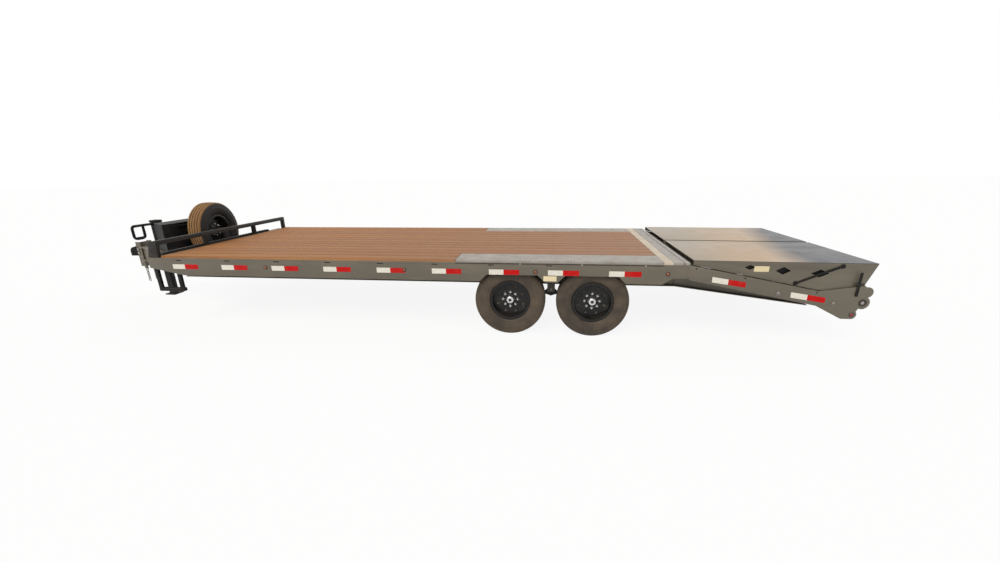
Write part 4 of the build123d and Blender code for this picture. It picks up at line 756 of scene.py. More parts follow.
class Shape:
    """One piece's mesh in the making."""

    def __init__(self) -> None:
        """Starts with an empty mesh and its marks."""
        self.mesh = bmesh.new()
        for mark in Mark:
            self.mesh.faces.layers.float.new(mark.value)

    def mark(self, mark: Mark, value: float = 1.0, faces: Iterable[BMFace] | None = None) -> "Shape":
        """Writes a mark on faces, for the finish to read.

        Args:
            mark: The mark.
            value: What is written.
            faces: The faces, or None for all.

        Returns:
            This shape.
        """
        layer = self.mesh.faces.layers.float[mark.value]
        for face in self.mesh.faces if faces is None else faces:
            face[layer] = value
        return self

    def add(self, part: "Shape", places: Iterable[Matrix] = (Matrix.Identity(4),)) -> "Shape":
        """Adds a copy of another shape at each place.

        Args:
            part: The other shape.
            places: Where its copies go.

        Returns:
            This shape.
        """
        sample = bpy.data.meshes.new("sample")
        part.mesh.to_mesh(sample)
        for place in places:
            copy = sample.copy()
            copy.transform(place)
            self.mesh.from_mesh(copy)
            bpy.data.meshes.remove(copy)
        bpy.data.meshes.remove(sample)
        return self

    def box(self, low: Point, high: Point) -> "Shape":
        """Adds a box.

        Args:
            low: One corner.
            high: The corner across from it.

        Returns:
            This shape.
        """
        size = map(abs, Vector(high) - Vector(low))
        matrix = Matrix.Translation((Vector(low) + Vector(high)) / 2) @ Matrix.Diagonal((*size, 1.0))
        bmesh.ops.create_cube(self.mesh, size=1.0, matrix=matrix)
        return self

    def rod(self, middle: Point, along: Across, radius: float, length: float, sides: int,
            end_radius: float | None = None) -> "Shape":
        """Adds a round bar, a many-sided bar or a cone.

        Args:
            middle: The bar's middle.
            along: The direction of its axis.
            radius: Radius at its low end.
            length: Its length.
            sides: Faces round it.
            end_radius: Radius at its far end, or None for the same.

        Returns:
            This shape.
        """
        far = radius if end_radius is None else end_radius
        bmesh.ops.create_cone(
            self.mesh, cap_ends=True, cap_tris=False, segments=sides, radius1=radius, radius2=far,
            depth=length, matrix=Matrix.Translation(middle) @ along.turn)
        return self

    def prism(self, outline: Sequence[Point], reach: Point) -> "Shape":
        """Adds a flat outline drawn out.

        Args:
            outline: The outline's corners.
            reach: The way it is drawn out, and how far.

        Returns:
            This shape.
        """
        part = Shape()
        face = part.mesh.faces.new([part.mesh.verts.new(point) for point in outline])
        pushed = bmesh.ops.extrude_face_region(part.mesh, geom=[face], use_keep_orig=True)["geom"]
        bmesh.ops.translate(part.mesh, verts=of_kind(pushed, BMVert), vec=reach)
        bmesh.ops.recalc_face_normals(part.mesh, faces=part.mesh.faces)
        return self.add(part)

    def lathe(self, section: Sequence[Flat], middle: Point, along: Across, steps: int,
              closed: bool = False) -> "Shape":
        """Spins a section of (along the axis, radius) points through a full turn.

        Args:
            section: The section's points.
            middle: A point on the axis.
            along: The axis's direction.
            steps: Faces round it.
            closed: Whether the section's ends join, as in a ring.

        Returns:
            This shape.
        """
        part = Shape()
        axis = Vector(along.value)
        out = Vector(Across.X.value) if along is Across.Z else UP
        corners = [part.mesh.verts.new(Vector(middle) + axis * a + out * r) for a, r in section]
        pairs = list(zip(corners, corners[1:])) + ([(corners[-1], corners[0])] if closed else [])
        edges = [part.mesh.edges.new(pair) for pair in pairs]
        bmesh.ops.spin(
            part.mesh, geom=corners + edges, cent=middle, axis=axis, dvec=(0.0, 0.0, 0.0), angle=math.tau,
            steps=steps, use_merge=True)
        bmesh.ops.remove_doubles(part.mesh, verts=part.mesh.verts, dist=SPUN_MERGE)
        bmesh.ops.recalc_face_normals(part.mesh, faces=part.mesh.faces)
        return self.add(part)

    def node(self, name: str) -> "Shape":
        """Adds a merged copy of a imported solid, with its flat faces made whole.

        Args:
            name: The solid's name.

        Returns:
            This shape.
        """
        mesh = self.mesh
        mesh.from_mesh(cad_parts[name].data)
        bmesh.ops.remove_doubles(mesh, verts=mesh.verts, dist=SOLID_MERGE)
        bmesh.ops.dissolve_limit(mesh, angle_limit=FLAT_TURN, verts=mesh.verts, edges=mesh.edges)
        return self

    def soften(self, width_mm: float, segments: int = 1) -> "Shape":
        """Rounds the sharp edges and marks them as places that rub.

        Args:
            width_mm: Width of the rounding.
            segments: Faces across it.

        Returns:
            This shape.
        """
        pairs = [edge for edge in self.mesh.edges if len(edge.link_faces) == 2]
        sharp = [edge for edge in pairs if edge.calc_face_angle(0.0) > SHARP_TURN]
        made = bmesh.ops.bevel(
            self.mesh, geom=sharp, offset=width_mm * MM, offset_type="OFFSET", affect="EDGES",
            segments=segments, profile=0.5, material=-1, clamp_overlap=True)
        return self.mark(Mark.EDGE, faces=made["faces"])

    def fatten(self, depth: float) -> "Shape":
        """Moves every face out, as a coat of rubber would.

        Args:
            depth: How far the faces move.

        Returns:
            This shape.
        """
        bmesh.ops.recalc_face_normals(self.mesh, faces=self.mesh.faces)
        self.mesh.normal_update()
        for corner, way in [(corner, corner.normal.copy()) for corner in self.mesh.verts]:
            corner.co += way * depth
        return self

    def flip(self) -> "Shape":
        """Adds the mirror image on the trailer's other side.

        Returns:
            This shape.
        """
        geometry = [*self.mesh.verts, *self.mesh.edges, *self.mesh.faces]
        twin = bmesh.ops.duplicate(self.mesh, geom=geometry)["geom"]
        bmesh.ops.scale(self.mesh, vec=(1.0, -1.0, 1.0), verts=of_kind(twin, BMVert))
        bmesh.ops.recalc_face_normals(self.mesh, faces=of_kind(twin, BMFace))
        return self

    def piece(self, name: str, finish: Finish, slot: Slot, body: Body = Body.CHASSIS,
              replaces: Sequence[str] = (), smooth: float = 32.0) -> None:
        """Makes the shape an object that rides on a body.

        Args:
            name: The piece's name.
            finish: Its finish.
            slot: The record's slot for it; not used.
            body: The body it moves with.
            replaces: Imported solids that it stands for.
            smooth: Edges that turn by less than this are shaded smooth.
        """
        data = bpy.data.meshes.new(name)
        self.mesh.to_mesh(data)
        self.mesh.free()
        data.polygons.foreach_set("use_smooth", [True] * len(data.polygons))
        data.set_sharp_from_angle(angle=math.radians(smooth))
        data.materials.clear()
        data.materials.append(material_of(finish))
        data.polygons.foreach_set("material_index", [0] * len(data.polygons))
        made = bpy.data.objects.new(name, data)
        bpy.context.scene.collection.objects.link(made)
        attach(made, body.value)
        if replaces:
            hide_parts(*replaces)
        LOG.info("%s: %d faces on %s", name, len(data.polygons), body.value)


@dataclass(frozen=True)
class Formed:
    """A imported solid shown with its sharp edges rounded."""

    node: str
    width_mm: float
    segments: int = 1

    def build(self, finish: Finish, slot: Slot, body: Body = Body.CHASSIS) -> None:
        """Makes the rounded copy and lets it stand for the solid."""
        shape = Shape().node(self.node).soften(self.width_mm, self.segments)
        shape.piece(f"{self.node}_formed", finish, slot, body, (self.node,))


def blank_plate(low: Flat, high: Flat, face: float) -> Shape:
    """Builds a thin plate on a left face, between two corners of (x, z)."""
    plate = Shape().box((low[0], face, low[1]), (high[0], face + FILM, high[1]))
    return plate.soften(FILM_ROUND_MM)


def dress_solids() -> None:
    """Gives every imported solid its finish."""
    for finish, names in NODE_FINISHES:
        for name in names:
            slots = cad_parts[name].material_slots
            for slot in slots:
                slot.material = material_of(finish)
            if not slots:
                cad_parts[name].data.materials.append(material_of(finish))


@dataclass
class Deck:
    """Load floor: boards with screws, tread plates with painted shadow lines beside them, tread strips and
    the pale end cap.
    """

    board_count: int = 14
    board_gap: float = 5 * MM
    board_round_mm: float = 5.0
    boards_over_wheel: int = 2
    plate_joint: float = 2 * MM
    plate_round_mm: float = 1.2
    tint_step: float = 0.618
    screw_rows: int = 15
    cross_flange: float = 40 * MM
    screw_from_middle: float = 52 * MM
    screw_radius: float = 5.5 * MM
    screw_height: float = 2 * MM
    screw_taper: float = 0.75
    lug_pitch: float = 34 * MM
    lug_length: float = 26 * MM
    lug_width: float = 8 * MM
    lug_height: float = 1.8 * MM
    lug_taper: Flat = (0.7, 0.45)
    lug_turn: float = math.radians(45.0)
    first_strip: float = 102 * MM
    strip_gap: float = 7 * MM
    # How far the painted shadow line's bottom and top lie below the rail's top
    seam_drop: Flat = (14 * MM, 5 * MM)
    cap: Formed = Formed("deck_end_cap", 1.5)

    def build(self) -> None:
        """Builds the whole floor."""
        self.boards()
        self.screws()
        self.plates()
        self.seams()
        self.strips()
        self.cap.build(CAP_PAINT, Slot.CAP)

    @property
    def pitch(self) -> float:
        """Gives the distance from board to board."""
        low, high = node_box("deck_boards")
        return (high.y - low.y + self.board_gap) / self.board_count

    def layout(self) -> Iterator[tuple[float, float, float]]:
        """Lays the boards out from right to left.

        Returns:
            Each board's right edge, left edge and rear end.
        """
        low, _ = node_box("deck_boards")
        plate_front = node_box("tread_plates")[1].x
        for index in range(self.board_count):
            from_edge = min(index, self.board_count - 1 - index)
            rear = plate_front + self.plate_joint if from_edge < self.boards_over_wheel else low.x
            start = low.y + index * self.pitch
            yield start, start + self.pitch - self.board_gap, rear

    def boards(self) -> None:
        """Lays the boards, each with rounded edges and its own tint."""
        low, high = node_box("deck_boards")
        shape = Shape()
        for index, (right, left, rear) in enumerate(self.layout()):
            board = Shape().box((rear, right, low.z), (high.x, left, high.z))
            shape.add(board.mark(Mark.BOARD, math.modf(index * self.tint_step)[0]))
        shape.soften(self.board_round_mm, 2)
        shape.piece("deck_planks", WOOD, Slot.WOOD, replaces=("deck_boards",))

    def screws(self) -> None:
        """Sets two screw heads in each board over each crossmember."""
        low, high = node_box("crossmembers")
        run = high.x - self.cross_flange - low.x
        top = node_box("deck_boards")[1].z
        narrow = self.screw_taper * self.screw_radius
        head = Shape().rod(
            (0.0, 0.0, 0.0), Across.Z, self.screw_radius, self.screw_height, Facets.SCREW, narrow)
        spots = []
        for row in range(self.screw_rows):
            x = low.x + run * row / (self.screw_rows - 1) + self.cross_flange / 2
            for right, left, rear in self.layout():
                if x > rear:
                    middle = (right + left) / 2
                    spots += [(x, middle + sign * self.screw_from_middle, top) for sign in BOTH_WAYS]
        heads = Shape().add(head, map(Matrix.Translation, spots))
        heads.piece("deck_screws", IRON, Slot.SPRING)

    def lugs(self, shape: Shape, low: Point, high: Point) -> None:
        """Adds raised lugs, turned left and right in turn, over a flat stretch.

        Args:
            shape: The plate that carries them.
            low: The stretch's rear right corner on the plate's top.
            high: Its front left corner.
        """
        lug = Shape()
        bmesh.ops.create_cube(lug.mesh, size=1.0)
        top = [corner for corner in lug.mesh.verts if corner.co.z > 0.0]
        bmesh.ops.scale(lug.mesh, vec=(*self.lug_taper, 1.0), verts=top)
        size = (self.lug_length, self.lug_width, 2 * self.lug_height)
        bmesh.ops.scale(lug.mesh, vec=size, verts=lug.mesh.verts)
        lug.mark(Mark.LUG)
        pitch = self.lug_pitch
        along, across = (int((high[axis] - low[axis]) / pitch) for axis in (0, 1))
        first_x = (high[0] + low[0] - (along - 1) * pitch) / 2
        first_y = (high[1] + low[1] - (across - 1) * pitch) / 2
        for odd in (0, 1):
            turns = [self.lug_turn if (step + odd) % 2 else -self.lug_turn for step in range(along)]
            row = Shape().add(lug, [
                Matrix.Translation((first_x + step * pitch, 0.0, low[2])) @ Matrix.Rotation(turn, 4, "Z")
                for step, turn in enumerate(turns)
            ])
            lines = range(odd, across, 2)
            shape.add(row, [Matrix.Translation((0.0, first_y + line * pitch, 0.0)) for line in lines])

    def plates(self) -> None:
        """Covers the plates over the wheels with lugs."""
        low, high = node_box("tread_plates")
        inner = high.y - self.boards_over_wheel * self.pitch + self.board_gap
        shape = Shape().node("tread_plates").soften(self.plate_round_mm)
        for right, left in ((inner, high.y), (-high.y, -inner)):
            self.lugs(shape, (low.x, right, high.z), (high.x, left, high.z))
        shape.piece("tread_plates_lugged", TREAD_STEEL, Slot.TREAD, replaces=("tread_plates",))

    def seams(self) -> None:
        """Runs a dark strip along each rail's top, beside the tread plates, as painted shadow under the
        plates' edge.
        """
        low, high = node_box("tread_plates")
        rail = node_box("side_rail_left")[1]
        bottom, top = (rail.z - drop for drop in self.seam_drop)
        shadow_line = Shape().box((low.x, rail.y, bottom), (high.x, rail.y + FILM, top))
        shadow_line.flip().piece("plate_shadow_lines", RAIL_PAINT, Slot.BLACK)

    def strips(self) -> None:
        """Covers the two end strips with lugs."""
        low, high = node_box("deck_end_strips")
        middle = high.x - self.first_strip
        shape = Shape().node("deck_end_strips").soften(self.plate_round_mm)
        for rear, front in ((middle, high.x), (low.x, middle - self.strip_gap)):
            self.lugs(shape, (rear, low.y, high.z), (front, high.y, high.z))
        shape.piece("end_strips_lugged", TREAD_STEEL, Slot.TREAD, replaces=("deck_end_strips",))


@dataclass
class Frame:
    """Side rails, beams and crossmembers under the floor, with the rails' small fittings."""

    formed: tuple[Formed, ...] = (
        Formed("side_rail_left", 2.0, 2), Formed("side_rail_right", 2.0, 2), Formed("main_beams", 3.0),
        Formed("crossmembers", 1.5), Formed("front_header", 2.0),
    )
    front_rail: Formed = Formed("front_rail", 3.0, 2)
    plate_rear: float = -1.673
    plate_length: float = 139 * MM
    plate_low: float = 0.644
    plate_height: float = 54 * MM
    slots: int = 8
    slot_pitch: float = 620 * MM
    first_slot: float = 403 * MM
    liner_half: float = 62 * MM
    liner_z: Flat = (0.786, 0.814)
    bolt_places: tuple[float, ...] = (-1.284, -1.93, -2.574)
    bolt_drop: float = 11 * MM
    bolt_radius: float = 9 * MM
    bolt_head: float = 6 * MM
    bolt_round_mm: float = 1.0

    def build(self) -> None:
        """Rounds the frame's solids and adds the blank plate, the bolts and black plates behind the slots as
        painted shade.
        """
        for solid in self.formed:
            solid.build(FRAME_PAINT, Slot.FRAME)
        self.front_rail.build(RAIL_PAINT, Slot.BLACK)
        rail = node_box("side_rail_left")[1]
        front, high = self.plate_rear + self.plate_length, self.plate_low + self.plate_height
        plate = blank_plate((self.plate_rear, self.plate_low), (front, high), rail.y)
        plate.piece("blank_rail_plate", BLANK, Slot.CAP)
        self.bolts(rail).piece("rail_bolts", ZINC, Slot.STEEL)
        # Black plates that stand for the shade inside the rails, seen through the slots
        self.liners(rail).piece("slot_shade_plates", BLACK_PAINT, Slot.BLACK)

    def bolts(self, rail: Vector) -> Shape:
        """Puts bolt heads on both rails, beside the tread plates.

        Args:
            rail: The left rail's highest corner.

        Returns:
            The heads.
        """
        shape = Shape()
        for x in self.bolt_places:
            spot = (x, rail.y + self.bolt_head / 2, rail.z - self.bolt_drop)
            shape.rod(spot, Across.Y, self.bolt_radius, self.bolt_head, Facets.HEXAGON)
        return shape.soften(self.bolt_round_mm).flip()

    def liners(self, rail: Vector) -> Shape:
        """Closes the rails' slots from behind with black plates, painted shade for the rail's shadowed
        inside.

        Args:
            rail: The left rail's highest corner.

        Returns:
            The black plates.
        """
        shape = Shape()
        back = rail.y - SHADE_PLATE_BEHIND
        bottom, top = self.liner_z
        for index in range(self.slots):
            x = rail.x - self.first_slot - index * self.slot_pitch
            low = (x - self.liner_half, back - SHADE_PLATE_WALL, bottom)
            shape.box(low, (x + self.liner_half, back, top))
        return shape.flip()


@dataclass
class ReflectiveTape:
    """White and red tape in turn along the rails, the dovetail and the light bar."""

    height: float = 56 * MM
    from_front: float = 312 * MM
    white: float = 157 * MM
    red: float = 170 * MM
    pitch: float = 631.5 * MM
    count: int = 9
    from_deck: float = 125.5 * MM
    dovetail_slope: float = 0.15
    dovetail_strips: Places = ((-3.236, 0.694), (-4.003, 0.552))
    bar_strips: int = 4
    bar_height: float = 50 * MM

    def build(self) -> None:
        """Sticks all the tape on."""
        rail = node_box("side_rail_left")[1]
        level = node_box("deck_boards")[1].z - self.from_deck
        strips = [(rail.x - self.from_front - step * self.pitch, level, 0.0) for step in range(self.count)]
        strips += [(x, z, self.dovetail_slope) for x, z in self.dovetail_strips]
        white, red = Shape(), Shape()
        for front, z, slope in strips:
            self.strip(white, front, self.white, z, slope, rail.y)
            self.strip(red, front - self.white, self.red, z - self.white * slope, slope, rail.y)
        self.bar(white.flip(), 0.0, self.white)
        self.bar(red.flip(), self.white, self.red)
        white.piece("tape_white", TAPE_WHITE, Slot.CAP)
        red.piece("tape_red", TAPE_RED, Slot.RED)

    def strip(self, shape: Shape, front: float, length: float, z: float, slope: float, face: float) -> None:
        """Adds one length of tape on the left side.

        Args:
            shape: The tape of that colour.
            front: Where it starts.
            length: How long it is.
            z: The height of its middle at its start.
            slope: How much it falls to the rear.
            face: The rail's outer face.
        """
        rear, fall, half = front - length, length * slope, self.height / 2
        outline = ((front, z - half), (front, z + half), (rear, z - fall + half), (rear, z - fall - half))
        shape.prism([(x, face, up) for x, up in outline], (0.0, FILM, 0.0))

    def bar(self, shape: Shape, offset: float, length: float) -> None:
        """Adds every second length on the rear light bar.

        Args:
            shape: The tape of that colour.
            offset: Where it starts in each pair of lengths.
            length: How long it is.
        """
        low, high = node_box("rear_light_bar")
        middle, half = (low.z + high.z) / 2, self.bar_height / 2
        for index in range(self.bar_strips):
            start = (index - self.bar_strips / 2) * (self.white + self.red) + offset
            shape.box((low.x - FILM, start, middle - half), (low.x, start + length, middle + half))


@dataclass
class Dovetail:
    """Sloping rear frame with its hinge plates, seals, drain plugs, shaft collars and pull pins."""

    formed: tuple[Formed, ...] = (
        Formed("dovetail_side_left", 2.0, 2), Formed("dovetail_side_right", 2.0, 2),
        Formed("dovetail_beams", 2.5), Formed("dovetail_crossmembers", 1.5), Formed("rear_light_bar", 1.5),
    )
    latches: Formed = Formed("ramp_latches", 3.0, 2)
    collar: Section = ((0.0, 17.0), (0.0, 36.0), (4.0, 36.0), (6.0, 33.5), (6.0, 22.0), (3.0, 17.0))
    pin_places: Places = ((-4.409, 0.478), (-3.881, 0.569))
    pin_radius: float = 7 * MM
    pin_stand: float = 8 * MM
    flange_radius: float = 14 * MM
    ring: Section = ((-1.5, 12.5), (-1.5, 15.5), (1.5, 15.5), (1.5, 12.5))
    ring_share: float = 0.7
    drain_places: Places = ((-3.069, 0.803), (-3.549, 0.714), (-4.241, 0.58))
    drain_radius: float = 9 * MM
    drain_height: float = 1 * MM
    seal_ends: tuple[Flat, Flat] = ((-4.255, 0.5939), (-3.03, 0.8307))
    seal_from: float = 1.2455
    seal_width: float = 12 * MM
    seal_height: float = 2 * MM

    def build(self) -> None:
        """Rounds the solids and adds the seals and the small parts."""
        for solid in self.formed:
            solid.build(FRAME_PAINT, Slot.FRAME)
        self.seals()
        self.drains()
        self.latches.build(BLACK_PAINT, Slot.BLACK)
        self.collars()
        self.pins()

    def seals(self) -> None:
        """Lays a rubber strip on each side rail, under the ramp."""
        top = [(x, z + self.seal_height) for x, z in reversed(self.seal_ends)]
        outline = [(x, self.seal_from, z) for x, z in (*self.seal_ends, *top)]
        strip = Shape().prism(outline, (0.0, self.seal_width, 0.0))
        strip.flip().piece("ramp_seals", GRIP, Slot.RUBBER)

    def drains(self) -> None:
        """Plugs the drain holes in the side rails."""
        face = node_box("dovetail_side_left")[1].y
        plugs = Shape()
        for x, z in self.drain_places:
            plugs.rod((x, face, z), Across.Y, self.drain_radius, self.drain_height, Facets.PIN)
        plugs.flip().piece("drain_plugs", GRIP, Slot.RUBBER)

    def collars(self) -> None:
        """Puts a collar on each end of the hinge shaft."""
        middle, end = node_middle("hinge_shaft"), node_box("hinge_shaft")[1].y
        collar = Shape().lathe(
            scaled(self.collar), (middle.x, end, middle.z), Across.Y, Facets.COLLAR, closed=True)
        collar.flip().piece("hinge_collars", IRON, Slot.SPRING)

    def pins(self) -> None:
        """Puts pull pins with flanges and rings on the side rails."""
        face, stand = node_box("hinge_shaft")[1].y, self.pin_stand
        pins = Shape()
        for x, z in self.pin_places:
            pins.rod((x, face + stand / 2, z), Across.Y, self.pin_radius, stand, Facets.PIN)
            pins.rod((x, face + stand / 4, z), Across.Y, self.flange_radius, stand / 2, Facets.RING)
            hung = (x, face + self.ring_share * stand, z - self.flange_radius)
            pins.lathe(scaled(self.ring), hung, Across.Y, Facets.RING, closed=True)
        pins.flip().piece("pull_pins", ZINC, Slot.STEEL)


@dataclass
class Ramp:
    """One fold-over ramp: frame with black plates behind its holes as painted shade, sheet, prop bar and, on
    the left, a blank plate.
    """

    side: Side
    plate_front: float = -3.627
    plate_length: float = 140 * MM
    plate_low: float = 0.778
    plate_height: float = 56 * MM
    # Each hole's middle (x, z) and its half width and height
    holes: tuple[tuple[float, float, float, float], ...] = (
        (-3.588, 0.82, 0.053, 0.026), (-3.903, 0.79, 0.072, 0.04), (-4.243, 0.769, 0.085, 0.04),
    )
    liner_margin: Flat = (24 * MM, 10 * MM)

    def liners(self) -> Shape:
        """Builds the black plates behind the holes in the outer plate, painted shade for the ramp's shadowed
        inside.

        Returns:
            The black plates.
        """
        shape = Shape()
        sign = self.side.value
        face = max(abs(corner.y) for corner in node_box(f"ramp_frame_{self.side.word}"))
        back = sign * (face - SHADE_PLATE_BEHIND)
        wide, tall = self.liner_margin
        for x, z, half_x, half_z in self.holes:
            low = (x - half_x - wide, back - sign * SHADE_PLATE_WALL, z - half_z - tall)
            shape.box(low, (x + half_x + wide, back, z + half_z + tall))
        return shape

    def build(self) -> None:
        """Builds the ramp's pieces on its own body."""
        body, word = self.side.ramp, self.side.word
        # Black plates that stand for the shade inside the ramp, seen through its holes
        self.liners().piece(f"hole_liners_{word}", BLACK_PAINT, Slot.BLACK, body)
        Formed(f"ramp_frame_{word}", 1.5).build(FRAME_PAINT, Slot.FRAME, body)
        Formed(f"ramp_skin_{word}", 2.0, 2).build(RAMP_SKIN, Slot.SKIN, body)
        Formed(f"ramp_prop_{word}", 1.5).build(BLACK_PAINT, Slot.BLACK, body)
        if self.side is Side.LEFT:
            low = (self.plate_front - self.plate_length, self.plate_low)
            high = (self.plate_front, self.plate_low + self.plate_height)
            plate = blank_plate(low, high, node_box(f"ramp_frame_{word}")[1].y)
            plate.piece("blank_ramp_plate", BLANK, Slot.CAP, body)


@dataclass(frozen=True)
class TyreForm:
    """The tyre's section, in millimetres from the wheel's middle, and its shoulder blocks."""

    grooves: tuple[float, ...] = (-58.0, -20.0, 20.0, 58.0)
    groove_half: float = 4.5
    groove_floor: float = 0.6
    groove_wall: float = 0.8
    groove_depth: float = 8.0
    crown_half: float = 86.0
    crown_fall: float = 4.0
    radius: float = 393.5
    side_wall: Section = (
        (91.0, 385.0), (99.0, 377.0), (104.5, 362.0), (107.0, 360.0), (109.5, 345.0), (113.5, 318.0),
        (114.5, 316.0), (114.5, 304.0), (113.8, 302.0), (113.5, 284.0), (111.5, 268.0), (107.0, 252.0),
        (104.0, 250.0), (103.0, 244.0), (97.0, 232.0), (88.0, 226.0), (82.2, 224.0), (82.2, 203.5),
    )
    blocks: int = 60
    block_reach: Flat = (84.0, 100.0)
    block_foot: Flat = (384.0, 374.0)
    block_edge: float = 380.0
    tread_depth: float = 19.5

    def section(self) -> list[Flat]:
        """Draws the section from one bead over the crown to the other.

        Returns:
            The section's points.
        """
        crown = [-self.crown_half, self.crown_half]
        for groove in self.grooves:
            for share in (-1.0, -self.groove_floor, self.groove_floor, 1.0):
                crown.append(groove + share * self.groove_half)
        points = [(place, self.top(place)) for place in sorted(crown)]
        right = [(-along, radius) for along, radius in reversed(self.side_wall)]
        return right + points + list(self.side_wall)

    def in_groove(self, place: float, share: float = 1.0) -> bool:
        """Says whether a place across the tread lies in a groove, or in a share of its width."""
        return any(abs(place - groove) < share * self.groove_half for groove in self.grooves)

    def top(self, place: float) -> float:
        """Gives the tread's radius at a place across it, lower in a groove."""
        drop = self.groove_depth if self.in_groove(place, self.groove_wall) else 0.0
        return self.radius - self.crown_fall * (place / self.crown_half) ** 2 - drop

    def shape(self, middle: Point, along: Across) -> Shape:
        """Builds the tyre round an axle.

        Args:
            middle: The wheel's middle.
            along: The axle's direction.

        Returns:
            The tyre's shape.
        """
        shape = Shape().lathe(scaled(self.section()), middle, along, Facets.TYRE, closed=True)
        block = Shape()
        axle = Vector(along.value)
        low, high = self.block_reach
        low_foot, high_foot = self.block_foot
        outline = ((low, low_foot), (high, high_foot), (high, self.block_edge), (low, self.top(low)))
        width = axle.cross(UP) * (math.pi * self.radius / self.blocks * MM)
        start = Vector(middle) - width / 2
        for sign in BOTH_WAYS:
            block.prism([start + axle * (sign * a * MM) + UP * (r * MM) for a, r in outline], width)
        shape.add(block, round_axis(middle, along, self.blocks))
        centre = Vector(middle)
        ribs = [face for face in shape.mesh.faces if self.on_tread(face.calc_center_median() - centre, axle)]
        return shape.mark(Mark.TREAD, faces=ribs)

    def on_tread(self, spot: Vector, axle: Vector) -> bool:
        """Says whether a spot, from the wheel's middle, lies on the tread and outside its grooves."""
        outside = not self.in_groove(spot.dot(axle) / MM)
        return outside and spot.cross(axle).length > (self.radius - self.tread_depth) * MM


@dataclass
class Wheel:
    """One road wheel: tyre, rim, nuts, hub cap and valve."""

    corner: str
    form: TyreForm = TyreForm()
    nuts: int = 8
    nut_circle: float = 82.55 * MM
    nut_radius: float = 17.5 * MM
    nut_base: float = 10 * MM
    nut_length: float = 22 * MM
    nut_dome: float = 9 * MM
    dome_shares: Flat = (0.9, 0.45)
    cap: Section = (
        (10.0, 0.0), (10.0, 46.0), (14.0, 46.5), (18.0, 45.5), (20.0, 44.5), (64.0, 43.5), (73.0, 41.0),
        (78.0, 36.0), (80.0, 30.0), (80.0, 17.0), (77.0, 16.0), (77.0, 0.0),
    )
    plug: Section = ((76.0, 0.0), (76.0, 15.8), (79.0, 15.8), (81.5, 13.0), (82.0, 0.0))
    lip: Section = ((84.0, 203.0), (84.0, 222.5), (88.0, 225.0), (92.5, 222.5), (92.5, 215.0), (90.0, 203.0))
    valve_circle: float = 176 * MM
    valve_out: float = 26 * MM
    valve_radius: float = 6 * MM
    valve_length: float = 34 * MM

    def build(self) -> None:
        """Builds the wheel on its own body."""
        corner = self.corner
        body = Body[f"WHEEL_{corner.upper()}"]
        middle = node_middle(f"tyre_{corner}")
        outward = math.copysign(1.0, middle.y)
        tyre = self.form.shape(middle, Across.Y)
        tyre.piece(f"tyre_{corner}_treaded", TYRE, Slot.RUBBER, body, (f"tyre_{corner}",))
        Formed(f"rim_{corner}", 1.5).build(RIM_PAINT, Slot.RIM, body)
        lip = Shape().lathe(scaled(self.lip, outward), middle, Across.Y, Facets.RIM, closed=True)
        lip.piece(f"rim_lip_{corner}", RIM_PAINT, Slot.RIM, body)
        bright = Shape().lathe(scaled(self.cap, outward), middle, Across.Y, Facets.HUB)
        bright.add(self.nut(middle, outward), round_axis(middle, Across.Y, self.nuts))
        bright.piece(f"hub_cap_{corner}", CHROME, Slot.HUB, body)
        dark = Shape().lathe(scaled(self.plug, outward), middle, Across.Y, Facets.COLLAR)
        stem = middle + Vector((0.0, outward * self.valve_out, self.valve_circle))
        dark.rod(stem, Across.Y, self.valve_radius, self.valve_length, Facets.STEM)
        dark.piece(f"hub_plug_{corner}", GRIP, Slot.RUBBER, body)

    def nut(self, middle: Vector, outward: float) -> Shape:
        """Builds the topmost nut with its domed end.

        Args:
            middle: The wheel's middle.
            outward: The sign of the way out.

        Returns:
            The nut.
        """
        at = middle + UP * self.nut_circle
        out = Vector((0.0, outward, 0.0))
        hexagon = at + out * (self.nut_base + self.nut_length / 2)
        dome = at + out * (self.nut_base + self.nut_length + self.nut_dome / 2)
        wide, narrow = (share * self.nut_radius for share in self.dome_shares)
        right_end, left_end = (wide, narrow) if outward > 0 else (narrow, wide)
        shape = Shape().rod(hexagon, Across.Y, self.nut_radius, self.nut_length, Facets.HEXAGON)
        return shape.rod(dome, Across.Y, right_end, self.nut_dome, Facets.STEM, left_end)


